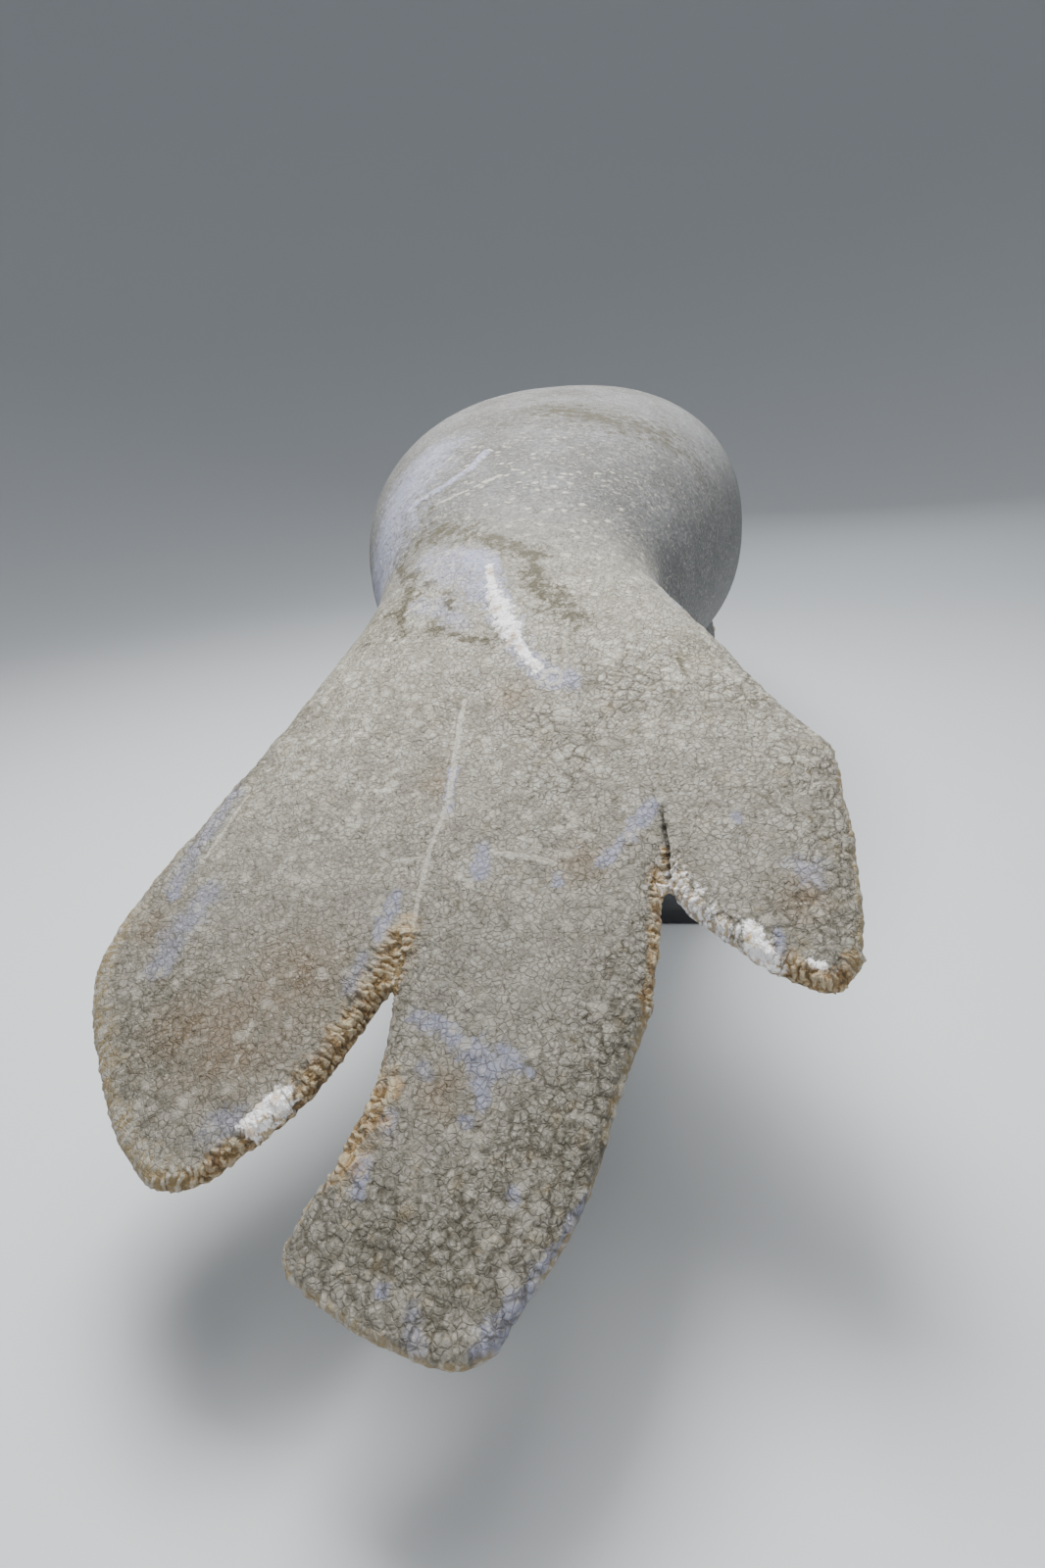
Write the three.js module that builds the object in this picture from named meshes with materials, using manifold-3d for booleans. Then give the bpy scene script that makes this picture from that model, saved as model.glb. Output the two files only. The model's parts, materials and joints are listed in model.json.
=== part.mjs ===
// A life-size still model of an adult Florida manatee, swimming level with its tail on the
// downstroke, held by a flat display base with two short rods. Old propeller wounds have
// parted its tail paddle into three lobes. Millimetres, +Z up, nose towards -Y, and +X is
// the animal's left. The origin is on the underside of the base.
import * as THREE from 'three';
import { LoftGeometry } from 'three/addons/geometries/LoftGeometry.js';
import { mergeVertices } from 'three/addons/utils/BufferGeometryUtils.js';
import Module from 'manifold-3d';

const wasm = await Module();
wasm.setup();

// Driving sizes of the body
const TOTAL_LENGTH = 3046; // snout tip to the tip of the longest lobe, along the spine
const PADDLE_START = 2220; // the tail stock's narrowest place, from the snout tip
const BALANCE = 1300; // the station that stands over the middle of the base
const AXIS_HEIGHT = 600; // the trunk's axis above the floor
const GAP = 0.3; // between two nodes that touch
const SQUARENESS = { head: 2.1, barrel: 2.3 }; // exponents of the trunk's superellipse sections

// The spine's angles, in degrees
const HEAD_DIP = 12;
const TRUNK_DROOP = 6;
const PADDLE_DROOP = 29;
const TAIL_SWING = -2;
const TAIL_ROLL = -6;

// Each row: distance from the snout tip, left half width, right half width, height above
// the axis, depth below it, half thickness of the paddle's rim.
const BODY = [
  [6, 60, 60, 56, 30, 0],
  [18, 78, 78, 68, 50, 0],
  [45, 92, 92, 78, 72, 0],
  [100, 106, 106, 90, 96, 0],
  [150, 119, 119, 100, 113, 0],
  [205, 134, 134, 111, 127, 0],
  [300, 163, 163, 128, 148, 0],
  [400, 192, 192, 148, 171, 0],
  [500, 224, 224, 172, 196, 0],
  [650, 273, 273, 208, 232, 0],
  [900, 330, 330, 250, 274, 0],
  [1150, 356, 364, 276, 298, 0],
  [1350, 363, 375, 281, 302, 0],
  [1600, 343, 357, 266, 282, 0],
  [1850, 294, 302, 227, 233, 0],
  [2050, 232, 232, 176, 170, 0],
  [2160, 195, 195, 141, 132, 0],
  [PADDLE_START, 190, 196, 122, 102, 2],
  [PADDLE_START + 70, 212, 226, 102, 78, 7],
  [PADDLE_START + 150, 243, 262, 84, 54, 12],
  [PADDLE_START + 225, 274, 293, 71, 38, 14],
  [PADDLE_START + 285, 304, 327, 62, 26, 14],
  [PADDLE_START + 318, 321, 347, 58, 21, 14],
  [PADDLE_START + 370, 347, 343, 53, 14, 14],
  [PADDLE_START + 430, 370, 350, 48, 8, 14],
  [PADDLE_START + 500, 382, 356, 44, 4, 13],
  [PADDLE_START + 650, 350, 340, 37, -3, 12],
  [PADDLE_START + 830, 300, 300, 32, -8, 10],
];
const FAN_END = 370; // where the paddle's fan gives way to the lobes, from its start
const RIM_ROUNDING = 20; // radius that the rim's thickness fades over
const WOUND_ROUNDING = 24; // the same at the edge of a healed wound

// Each lobe's rows: distance from the paddle's start, left edge, right edge. The edges
// overlap their neighbours where the wounds haven't parted them.
const LOBES = {
  left: [
    [330, 327, 44], [370, 347, 49], [400, 360, 52], [450, 379, 58], [490, 389, 62], [530, 384, 73],
    [570, 367, 90], [615, 341, 114], [650, 320, 142], [680, 292, 178], [700, 271, 203], [711, 254, 222],
  ],
  middle: [
    [330, 84, -185], [370, 80, -178], [400, 76, -173], [450, 70, -170], [500, 67, -168], [545, 69, -163],
    [585, 70, -153], [625, 73, -138], [655, 81, -128], [677, 93, -121], [695, 97, -115], [712, 115, -110],
    [730, 118, -101], [750, 129, -90], [768, 126, -76], [781, 112, -66], [793, 86, -58], [806, 63, -50],
    [817, 32, -43], [826, 0, -26],
  ],
  right: [
    [330, -162, -346], [370, -170, -343], [410, -174, -345],
    [450, -177, -342], [467, -181, -340], [489, -194, -338], [510, -217, -335], [533, -240, -331],
    [553, -264, -321], [564, -286, -312], [570, -299, -305],
  ],
};
const SLIT = {
  left: { root: 500, x: 70, foot: 45 }, // between the left and middle lobes
  right: { root: 372, x: -173, foot: -165 }, // between the middle and right lobes
};
const SLIT_FADE = 70; // the length over which a wound's edges round off below its root

// Where one node of the trunk meets the next, from the snout tip
const CUTS = { snout: 125, head: 395, neck: 575, chest: 985, belly: 1530, loins: 2010, stock: 2300 };

const skin = (color) => new THREE.MeshStandardMaterial({ color, roughness: 0.62, metalness: 0 });
const HIDE = skin(0x9a948a);
const PALE_HIDE = skin(0xa8a296);
const EYE = new THREE.MeshStandardMaterial({ color: 0x1b1512, roughness: 0.12, metalness: 0 });
const NAIL = new THREE.MeshStandardMaterial({ color: 0xb9ab92, roughness: 0.45, metalness: 0 });
const BASE_PAINT = new THREE.MeshStandardMaterial({ color: 0x2a2d30, roughness: 0.5, metalness: 0 });
const STEEL = new THREE.MeshStandardMaterial({ color: 0x8f9396, roughness: 0.3, metalness: 1 });

// A smooth function through each column of a table whose first column is the place.
function through(rows) {
  const places = rows.map((row) => row[0]);
  const values = rows.flatMap((row) => row.slice(1));
  const curve = new THREE.CubicInterpolant(places, values, rows[0].length - 1);
  return (at) => Array.from(curve.evaluate(at));
}

const { degToRad, smoothstep, lerp, clamp } = THREE.MathUtils;
const bodyAt = through(BODY);

// The spine: a place and a frame at every few millimetres from the snout tip.
const SPINE_STEP = 4;
const spine = (() => {
  const frames = [];
  const place = new THREE.Vector3();
  for (let along = 0; along <= TOTAL_LENGTH + 100; along += SPINE_STEP) {
    const droop = degToRad(
      TRUNK_DROOP * smoothstep(along, 1300, 2100) +
        (PADDLE_DROOP - TRUNK_DROOP) * smoothstep(along, 2050, 2500) -
        HEAD_DIP * (1 - smoothstep(along, 150, 750)),
    );
    const swing = degToRad(TAIL_SWING * smoothstep(along, 1600, 2400));
    const roll = degToRad(TAIL_ROLL * smoothstep(along, 1900, 2500));
    const tangent = new THREE.Vector3(
      Math.cos(droop) * Math.sin(swing),
      Math.cos(droop) * Math.cos(swing),
      -Math.sin(droop),
    );
    const side = new THREE.Vector3(Math.cos(swing), -Math.sin(swing), 0).applyAxisAngle(tangent, -roll);
    const up = new THREE.Vector3().crossVectors(side, tangent);
    frames.push({ place: place.clone(), tangent, side, up });
    place.addScaledVector(tangent, SPINE_STEP);
  }
  const centre = frames[Math.round(BALANCE / SPINE_STEP)].place.clone();
  frames.forEach((frame) => frame.place.sub(centre).add(new THREE.Vector3(0, 0, AXIS_HEIGHT)));
  return frames;
})();

function frameAt(along) {
  const t = clamp(along / SPINE_STEP, 0, spine.length - 1.001);
  const [a, b] = [spine[Math.floor(t)], spine[Math.floor(t) + 1]];
  const share = t - Math.floor(t);
  const mix = (key) => a[key].clone().lerp(b[key], share);
  return { place: mix('place'), tangent: mix('tangent'), side: mix('side'), up: mix('up') };
}

// A point of the straight animal, across, along and above its axis, carried to its place.
function posed(across, along, above) {
  const frame = frameAt(along);
  return frame.place.addScaledVector(frame.side, across).addScaledVector(frame.up, above);
}

// The trunk's section is nearly an ellipse, fuller at the barrel than at the head.
const BARREL_RISE = [600, 1100];
function trunkSquareness(along) {
  return lerp(SQUARENESS.head, SQUARENESS.barrel, smoothstep(along, ...BARREL_RISE));
}

// On the paddle it falls off sooner, to a thin rim.
const ROUND_END = PADDLE_START - 120;
const PADDLE_FLATNESS = 1.7;
function flatnessAt(along) {
  return lerp(2 / trunkSquareness(along), PADDLE_FLATNESS, smoothstep(along, ROUND_END, PADDLE_START + 260));
}

// The paddle's and trunk's half thickness at a place across, and the height of its middle.
function thickness(across, along) {
  const [left, right, top, bottom, rim] = bodyAt(along);
  const centre = (left - right) / 2;
  const half = (left + right) / 2;
  const fall = Math.max(0, 1 - ((across - centre) / half) ** 2) ** (flatnessAt(along) / 2);
  return { half: ((top + bottom) / 2 - rim) * fall + rim, middle: (top - bottom) / 2 };
}

// From 0 at an edge to 1 at a radius inside it, along a quarter circle.
const roundOff = (inset, radius) => Math.sqrt(1 - (1 - clamp(inset / Math.max(radius, 0.01), 0, 1)) ** 2);

// Shallow creases that ring the neck: place, depth and half length.
const CREASES = [[392, 5, 16], [452, 4, 18], [560, 3.5, 20]];
function crease(along) {
  const dips = CREASES.map(([at, deep, half]) => deep * Math.exp(-(((along - at) / half) ** 2)));
  return dips.reduce((sum, dip) => sum + dip);
}

const BODY_SIDES = 32;

// One closed section of the trunk or fan, grown outwards by a margin.
function bodySection(along, grow = 0) {
  const [left, right, top, bottom, rim] = bodyAt(along);
  const dip = crease(along);
  const centre = (left - right) / 2;
  const half = (left + right) / 2 - dip;
  const middle = (top - bottom) / 2;
  const tall = (top + bottom) / 2 - dip;
  const squareness = lerp(trunkSquareness(along), 2, smoothstep(along, ROUND_END, PADDLE_START));
  const flatness = flatnessAt(along);
  return Array.from({ length: BODY_SIDES }, (_, i) => {
    const turn = (i / BODY_SIDES) * 2 * Math.PI;
    const [c, s] = [-Math.cos(turn), Math.sin(turn)];
    const reach = Math.abs(c) ** (2 / squareness);
    const across = centre + Math.sign(c) * (half + grow) * reach;
    const edge = roundOff(half * (1 - reach), RIM_ROUNDING);
    const above = middle + Math.sign(s) * ((tall - rim + grow) * Math.abs(s) ** flatness + rim * edge);
    return posed(across, along, above);
  });
}

// Stations crowd where the body changes fast. Each row: up to where, and the step until then.
const STATION_STEPS = [[60, 14], [380, 32], [600, 22], [2000, 70], [TOTAL_LENGTH, 38]];
function bodyStations(from, to) {
  const stations = [];
  for (let along = from; along < to - 1; ) {
    stations.push(along);
    along += STATION_STEPS.find(([limit]) => stations.at(-1) < limit)[1];
  }
  return [...stations, to];
}

const loft = (sections) => new LoftGeometry(sections, { capStart: true, capEnd: true });

// A closed solid from a geometry, whatever its seams and attributes.
function solid(geometry) {
  const plain = new THREE.BufferGeometry().copy(geometry);
  plain.deleteAttribute('normal');
  plain.deleteAttribute('uv');
  const merged = mergeVertices(plain, 1e-3);
  const made = new wasm.Manifold(new wasm.Mesh({
    numProp: 3,
    vertProperties: merged.attributes.position.array,
    triVerts: new Uint32Array(merged.index.array),
  }));
  if (made.volume() <= 0) throw new Error('a piece is inside out');
  return made;
}

const union = (solids) => solids.reduce((sum, each) => sum.add(each));
const larger = (a, b) => (b.volume() > a.volume() ? b : a);
const largest = (made) => made.decompose().reduce(larger);

// A half space on the tail side of a station, as a big block square to the spine.
const BLOCK = 5000;
function tailwards(along, offset = 0) {
  const frame = frameAt(along);
  const turn = new THREE.Matrix4().makeBasis(frame.side, frame.tangent, frame.up);
  const geometry = new THREE.BoxGeometry(BLOCK, BLOCK, BLOCK).translate(0, BLOCK / 2 + offset, 0);
  return solid(geometry.applyMatrix4(turn).translate(...frame.place));
}

function between(whole, from, to) {
  let kept = whole;
  if (from !== null) kept = kept.intersect(tailwards(from, GAP / 2));
  if (to !== null) kept = kept.subtract(tailwards(to, -GAP / 2));
  return kept;
}

// A lobe of the paddle: a slab between its two edges, rounded at the rim and at each wound.
const LOBE_SIDES = 22;
const LOBE_STEP = 22;
function lobe(rows, leftFade, rightFade) {
  const edgesAt = through(rows);
  const [first, last] = [FAN_END + GAP / 2, rows[rows.length - 1][0]];
  const sections = [];
  const steps = Math.round((last - first) / LOBE_STEP);
  for (let i = 0; i <= steps; i++) {
    // Rows crowd towards the tip, so that its end is round.
    const share = 1 - (1 - i / steps) ** 1.5;
    const at = lerp(first, last, share);
    const along = PADDLE_START + at;
    const [left, right] = edgesAt(at);
    const tip = roundOff(last - at + 4, RIM_ROUNDING);
    sections.push(Array.from({ length: LOBE_SIDES }, (_, j) => {
      const turn = (j / LOBE_SIDES) * 2 * Math.PI;
      const across = (left + right) / 2 - ((left - right) / 2) * Math.cos(turn);
      const body = thickness(across, along);
      const rounded = roundOff(left - across, leftFade(at)) * roundOff(across - right, rightFade(at));
      return posed(across, along, body.middle + Math.sign(Math.sin(turn)) * body.half * rounded * tip);
    }));
  }
  return solid(loft(sections));
}

const rimFade = () => RIM_ROUNDING;
const woundFade = ({ root }) => (at) =>
  WOUND_ROUNDING * smoothstep(at, root - SLIT_FADE / 2, root + SLIT_FADE);

const lobes = {
  left: lobe(LOBES.left, rimFade, woundFade(SLIT.left)),
  middle: lobe(LOBES.middle, woundFade(SLIT.left), woundFade(SLIT.right)),
  right: lobe(LOBES.right, woundFade(SLIT.right), rimFade),
};

// An ellipsoid at a place of the straight animal, in the frame of the spine there.
function pad(across, along, above, radii, tilt = 0, sides = 18, rings = 12) {
  const frame = frameAt(along);
  const turn = new THREE.Matrix4().makeBasis(frame.side, frame.tangent, frame.up);
  const geometry = new THREE.SphereGeometry(1, sides, rings).scale(...radii);
  geometry.rotateX(degToRad(tilt));
  return solid(geometry.applyMatrix4(turn).translate(...posed(across, along, above)));
}

// The snout: two deep upper lip pads, the bristly disc between them, and the nose above.
const LIP = { across: 48, along: 68, above: -32, radii: [64, 68, 76], tilt: 12 };
const DISC = { across: 0, along: 62, above: -22, radii: [50, 60, 58], tilt: 10 };
const NOSE = { across: 0, along: 62, above: 32, radii: [76, 62, 52], tilt: -14 };
function upperFace(grow) {
  const grown = ({ across, along, above, radii, tilt }, sign) =>
    pad(sign * across, along, above, radii.map((radius) => radius + grow), tilt);
  const front = bodyStations(BODY[0][0], CUTS.head).map((at) => bodySection(at, grow));
  return union([grown(LIP, -1), grown(LIP, 1), grown(DISC, 1), grown(NOSE, 1), solid(loft(front))]);
}

// The chin sits under and behind the lips, and the mouth is the thin gap that parts them.
const CHIN = { along: 100, above: -104, radii: [66, 66, 42], tilt: -8 };
const MOUTH_GAP = 2.5;
const chin = pad(0, CHIN.along, CHIN.above, CHIN.radii, CHIN.tilt);

// The eyes, each in a low ring of lids.
const EYE_PLACE = { along: 198, turn: 24, radius: 11, sunk: 5 };
const LID = { radius: 14, tube: 7, sunk: 3.5 };
function eyeSpot(sign) {
  const [half, , top] = bodyAt(EYE_PLACE.along);
  const turn = degToRad(EYE_PLACE.turn);
  const surface = new THREE.Vector2(half * Math.cos(turn), top * Math.sin(turn));
  const outwards = new THREE.Vector2(Math.cos(turn) / half, Math.sin(turn) / top).normalize();
  const frame = frameAt(EYE_PLACE.along);
  const sideways = frame.side.multiplyScalar(sign * outwards.x);
  const normal = sideways.addScaledVector(frame.up, outwards.y).normalize();
  return { at: posed(sign * surface.x, EYE_PLACE.along, surface.y), normal };
}
const eyeballs = [1, -1].map((sign) => {
  const { at, normal } = eyeSpot(sign);
  const centre = at.clone().addScaledVector(normal, -EYE_PLACE.sunk);
  const ball = (radius) => solid(new THREE.SphereGeometry(radius, 14, 8).translate(...centre));
  const facing = new THREE.Matrix4().makeRotationFromQuaternion(
    new THREE.Quaternion().setFromUnitVectors(new THREE.Vector3(0, 0, 1), normal),
  );
  const ring = new THREE.TorusGeometry(LID.radius, LID.tube, 8, 14).translate(0, 0, -LID.sunk);
  const lid = solid(ring.applyMatrix4(facing).translate(...at));
  return { eye: ball(EYE_PLACE.radius), socket: ball(EYE_PLACE.radius + GAP), lid };
});

// The nostrils: a pair of crescent valves, shut, high on the front of the nose.
const NOSTRIL = { towards: [0.5, -0.62, 0.6], radius: 13, tube: 3.4, sweep: 210 };
const nostrils = [-1, 1].map((sign) => {
  const [rx, ry, rz] = NOSE.radii;
  const [dx, dy, dz] = new THREE.Vector3(...NOSTRIL.towards).normalize();
  const tilt = new THREE.Matrix4().makeRotationX(degToRad(NOSE.tilt));
  const at = new THREE.Vector3(sign * rx * dx, ry * dy, rz * dz).applyMatrix4(tilt);
  const normal = new THREE.Vector3((sign * dx) / rx, dy / ry, dz / rz).normalize().applyMatrix4(tilt);
  const open = new THREE.TorusGeometry(NOSTRIL.radius, NOSTRIL.tube, 6, 10, degToRad(NOSTRIL.sweep));
  const arc = closeTube(open);
  // The crescent lies on the slope of the nose, with its horns towards the mouth.
  arc.rotateZ(degToRad((180 - NOSTRIL.sweep) / 2));
  arc.applyQuaternion(new THREE.Quaternion().setFromUnitVectors(new THREE.Vector3(0, 0, 1), normal));
  const frame = frameAt(NOSE.along);
  const turn = new THREE.Matrix4().makeBasis(frame.side, frame.tangent, frame.up);
  return solid(arc.translate(...at).applyMatrix4(turn).translate(...posed(0, NOSE.along, NOSE.above)));
});

// An open torus arc has no ends, so a fan of triangles closes each of them.
function closeTube(arc) {
  const { radialSegments, tubularSegments } = arc.parameters;
  const row = tubularSegments + 1;
  const index = Array.from(arc.index.array);
  for (let j = 1; j < radialSegments - 1; j++) {
    index.push(0, j * row, (j + 1) * row);
    const end = tubularSegments;
    index.push(end, (j + 1) * row + end, j * row + end);
  }
  arc.setIndex(index);
  return arc;
}

const trunk = solid(loft(bodyStations(BODY[0][0], PADDLE_START + FAN_END + 20).map((at) => bodySection(at))));
const face = upperFace(0);
const lids = eyeballs.map((each) => each.lid);
const holes = [...eyeballs.map((each) => each.socket), ...nostrils];
const flesh = union([trunk, face, chin, ...lids]).subtract(union(holes));
const jaw = chin.subtract(upperFace(MOUTH_GAP));

// Everything on one side of a wound's line, from the fan to just past the wound's root.
const SLIT_LEAD = 60;
const SLIT_PAST = 45;
function besideSlit(slit, sign) {
  const [start, end] = [PADDLE_START + FAN_END - SLIT_LEAD, PADDLE_START + slit.root + SLIT_PAST];
  const [foot, root] = [posed(slit.foot, start, 0), posed(slit.x, end, 0)];
  const tangent = root.clone().sub(foot).normalize();
  const up = frameAt(PADDLE_START + slit.root).up;
  const side = new THREE.Vector3().crossVectors(tangent, up).normalize();
  const turn = new THREE.Matrix4().makeBasis(side, tangent, new THREE.Vector3().crossVectors(side, tangent));
  const length = foot.distanceTo(root);
  const geometry = new THREE.BoxGeometry(BLOCK, length, BLOCK);
  geometry.translate(sign * (BLOCK / 2 - GAP / 2), length / 2, 0);
  return solid(geometry.applyMatrix4(turn).translate(...foot));
}

// The flippers: held back and down along the chest, broad side outwards.
const FLIPPER = {
  // across, along and above the trunk's axis
  line: [
    [150, 600, -95], [234, 652, -148], [286, 725, -210],
    [316, 830, -262], [327, 945, -292], [324, 1020, -300],
  ],
  // share of the way, half chord, half thickness
  blade: [
    [0, 64, 46], [0.2, 60, 38], [0.4, 66, 30], [0.62, 78, 22], [0.8, 76, 16], [0.93, 56, 12], [1, 20, 7],
  ],
  facing: [0.92, 0.1, 0.38],
};
const FLIPPER_SIDES = 16;
const FLIPPER_STEPS = 14;

function flipperFrame(sign, share) {
  const points = FLIPPER.line.map(([across, along, above]) => posed(sign * across, along, above));
  const path = new THREE.CatmullRomCurve3(points, false, 'centripetal');
  const place = path.getPointAt(share);
  const tangent = path.getTangentAt(share);
  const facing = new THREE.Vector3(sign * FLIPPER.facing[0], FLIPPER.facing[1], FLIPPER.facing[2]);
  const chord = new THREE.Vector3().crossVectors(facing, tangent).normalize();
  const normal = new THREE.Vector3().crossVectors(tangent, chord).normalize();
  const [halfChord, halfThick] = through(FLIPPER.blade)(share);
  return { place, tangent, chord, normal, halfChord, halfThick };
}

function flipper(sign) {
  const sections = [];
  for (let i = 0; i <= FLIPPER_STEPS; i++) {
    const share = 1 - (1 - i / FLIPPER_STEPS) ** 1.3;
    const { place, chord, normal, halfChord, halfThick } = flipperFrame(sign, share);
    sections.push(Array.from({ length: FLIPPER_SIDES }, (_, j) => {
      const turn = (j / FLIPPER_SIDES) * 2 * Math.PI;
      return place.clone()
        .addScaledVector(chord, halfChord * Math.cos(turn))
        .addScaledVector(normal, halfThick * Math.sin(turn));
    }));
  }
  return solid(loft(sections));
}

// Three nails lie flat on each flipper's outer face, along its rounded end.
const NAILS = { count: 3, share: 0.9, arch: 0.02, spread: 32, radii: [9, 14, 4] };
function nail(sign, index, grow) {
  const offset = index - (NAILS.count - 1) / 2;
  const frame = flipperFrame(sign, NAILS.share - NAILS.arch * Math.abs(offset));
  const inwards = frame.normal.clone().negate();
  const turn = new THREE.Matrix4().makeBasis(frame.chord, frame.tangent, inwards);
  const across = offset * NAILS.spread;
  const rise = frame.halfThick * Math.sqrt(1 - (across / frame.halfChord) ** 2);
  const at = frame.place.clone().addScaledVector(frame.chord, across).addScaledVector(frame.normal, rise);
  const geometry = new THREE.SphereGeometry(1, 10, 6).scale(...NAILS.radii.map((radius) => radius + grow));
  return solid(geometry.applyMatrix4(turn).translate(...at));
}

const grownTrunk = solid(loft(bodyStations(BODY[0][0], PADDLE_START).map((at) => bodySection(at, GAP))));

// The display stand: a flat base, and two rods that end in the belly's own curve.
const BASE = { length: 1500, width: 620, thick: 30, corner: 60 };
const ROD = { radius: 30, front: -360, rear: 400, collar: 62, collarThick: 14 };

function baseSolid() {
  const [w, l, r] = [BASE.width / 2, BASE.length / 2, BASE.corner];
  const shape = new THREE.Shape();
  shape.moveTo(-w + r, -l);
  shape.lineTo(w - r, -l);
  shape.absarc(w - r, -l + r, r, -Math.PI / 2, 0);
  shape.lineTo(w, l - r);
  shape.absarc(w - r, l - r, r, 0, Math.PI / 2);
  shape.lineTo(-w + r, l);
  shape.absarc(-w + r, l - r, r, Math.PI / 2, Math.PI);
  shape.lineTo(-w, -l + r);
  shape.absarc(-w + r, -l + r, r, Math.PI, 1.5 * Math.PI);
  const settings = { depth: BASE.thick, bevelEnabled: false, curveSegments: 6 };
  return solid(new THREE.ExtrudeGeometry(shape, settings));
}

function rodSolid(y) {
  const foot = BASE.thick + GAP;
  const shoulder = foot + ROD.collarThick;
  const profile = [
    [0, foot], [ROD.collar, foot], [ROD.collar, shoulder], [ROD.radius, shoulder], [ROD.radius, AXIS_HEIGHT],
    [0, AXIS_HEIGHT],
  ];
  const turned = new THREE.LatheGeometry(profile.map(([r, z]) => new THREE.Vector2(r, z)), 28);
  return largest(solid(turned.rotateX(Math.PI / 2).translate(0, y, 0)).subtract(grownTrunk));
}

// The nodes
const group = new THREE.Group();
function node(name, made, material) {
  const { vertProperties, triVerts } = largest(made).getMesh();
  const geometry = new THREE.BufferGeometry();
  geometry.setAttribute('position', new THREE.BufferAttribute(vertProperties, 3));
  geometry.setIndex(new THREE.BufferAttribute(triVerts, 1));
  geometry.computeVertexNormals();
  const mesh = new THREE.Mesh(geometry, material);
  mesh.name = name;
  group.add(mesh);
}

node('muzzle', between(face.subtract(union(holes)), null, CUTS.snout), HIDE);
node('lower_jaw', between(jaw, null, CUTS.snout), HIDE);
node('head', between(flesh, CUTS.snout, CUTS.head), HIDE);
node('neck', between(flesh, CUTS.head, CUTS.neck), HIDE);
node('chest', between(flesh, CUTS.neck, CUTS.chest), HIDE);
node('belly', between(flesh, CUTS.chest, CUTS.belly), HIDE);
node('loins', between(flesh, CUTS.belly, CUTS.loins), HIDE);
node('tail_stock', between(flesh, CUTS.loins, CUTS.stock), HIDE);
node('paddle_fan', between(flesh, CUTS.stock, PADDLE_START + FAN_END), PALE_HIDE);
node('paddle_lobe_left', lobes.left.subtract(besideSlit(SLIT.left, -1)), PALE_HIDE);
const beside = [besideSlit(SLIT.left, 1), besideSlit(SLIT.right, -1)];
node('paddle_lobe_middle', lobes.middle.subtract(union(beside)), PALE_HIDE);
node('paddle_lobe_right', lobes.right.subtract(besideSlit(SLIT.right, 1)), PALE_HIDE);

for (const [side, sign] of [['left', 1], ['right', -1]]) {
  const nails = Array.from({ length: NAILS.count }, (_, i) => i);
  const cut = union([grownTrunk, ...nails.map((i) => nail(sign, i, GAP))]);
  node(`flipper_${side}`, flipper(sign).subtract(cut), HIDE);
  nails.forEach((i) => node(`nail_${side}_${i + 1}`, nail(sign, i, 0), NAIL));
  node(`eye_${side}`, eyeballs[sign === 1 ? 0 : 1].eye, EYE);
}

node('stand_base', baseSolid(), BASE_PAINT);
node('stand_rod_front', rodSolid(ROD.front), STEEL);
node('stand_rod_rear', rodSolid(ROD.rear), STEEL);

export default group;
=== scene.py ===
"""A life-size model of an adult Florida manatee on a flat display base with short rods."""

import json
import logging
from collections.abc import Iterable, Iterator, Sequence
from contextlib import contextmanager
from dataclasses import dataclass, field
from enum import Enum
from functools import reduce
from math import cos, pi, radians, sin

import bpy
import numpy as np
from mathutils import Matrix, Vector

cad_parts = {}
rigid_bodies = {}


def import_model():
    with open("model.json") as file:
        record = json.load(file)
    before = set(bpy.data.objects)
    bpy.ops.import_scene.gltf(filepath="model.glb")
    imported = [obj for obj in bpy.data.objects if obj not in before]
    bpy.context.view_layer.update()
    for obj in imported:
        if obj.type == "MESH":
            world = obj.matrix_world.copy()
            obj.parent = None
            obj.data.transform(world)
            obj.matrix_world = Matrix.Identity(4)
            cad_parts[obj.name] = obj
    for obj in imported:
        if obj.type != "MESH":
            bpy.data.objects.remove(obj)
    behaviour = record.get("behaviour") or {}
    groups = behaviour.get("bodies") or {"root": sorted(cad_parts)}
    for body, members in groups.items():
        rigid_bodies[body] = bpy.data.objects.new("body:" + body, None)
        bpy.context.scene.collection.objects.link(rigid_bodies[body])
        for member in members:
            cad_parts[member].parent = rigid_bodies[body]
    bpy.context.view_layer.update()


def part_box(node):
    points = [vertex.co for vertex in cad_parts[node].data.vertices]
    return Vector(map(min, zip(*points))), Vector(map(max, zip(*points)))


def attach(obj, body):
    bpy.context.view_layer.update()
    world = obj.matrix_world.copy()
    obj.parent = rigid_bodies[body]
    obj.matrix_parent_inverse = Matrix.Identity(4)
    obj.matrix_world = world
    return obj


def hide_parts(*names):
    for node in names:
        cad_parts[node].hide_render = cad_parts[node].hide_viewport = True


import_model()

log = logging.getLogger("manatee")

FLESH = (
    "muzzle", "lower_jaw", "head", "neck", "chest", "belly", "loins", "tail_stock", "paddle_fan",
    "paddle_lobe_left", "paddle_lobe_middle", "paddle_lobe_right", "flipper_left", "flipper_right",
)
SIDES = {"left": 1, "right": -1}
NAILS_A_SIDE = 3

Array = np.ndarray
Sockets = bpy.types.NodeSocket
Colour = tuple[int, int, int]
Path = tuple[tuple[float, float], ...]


def in_metres(path: Iterable[tuple[int, int]]) -> Path:
    """Turn a path's points from millimetres into metres."""
    return tuple((x / 1000, y / 1000) for x, y in path)


def smoothstep(value: Array, low: float, high: float) -> Array:
    """Rise from 0 to 1 between two values, level at both ends.

    Args:
        value: The values to read.
        low: Where the rise starts.
        high: Where it ends.

    Returns:
        The share of the rise at each value.
    """
    share = np.clip((value - low) / (high - low), 0.0, 1.0)
    return share * share * (3.0 - 2.0 * share)


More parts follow.
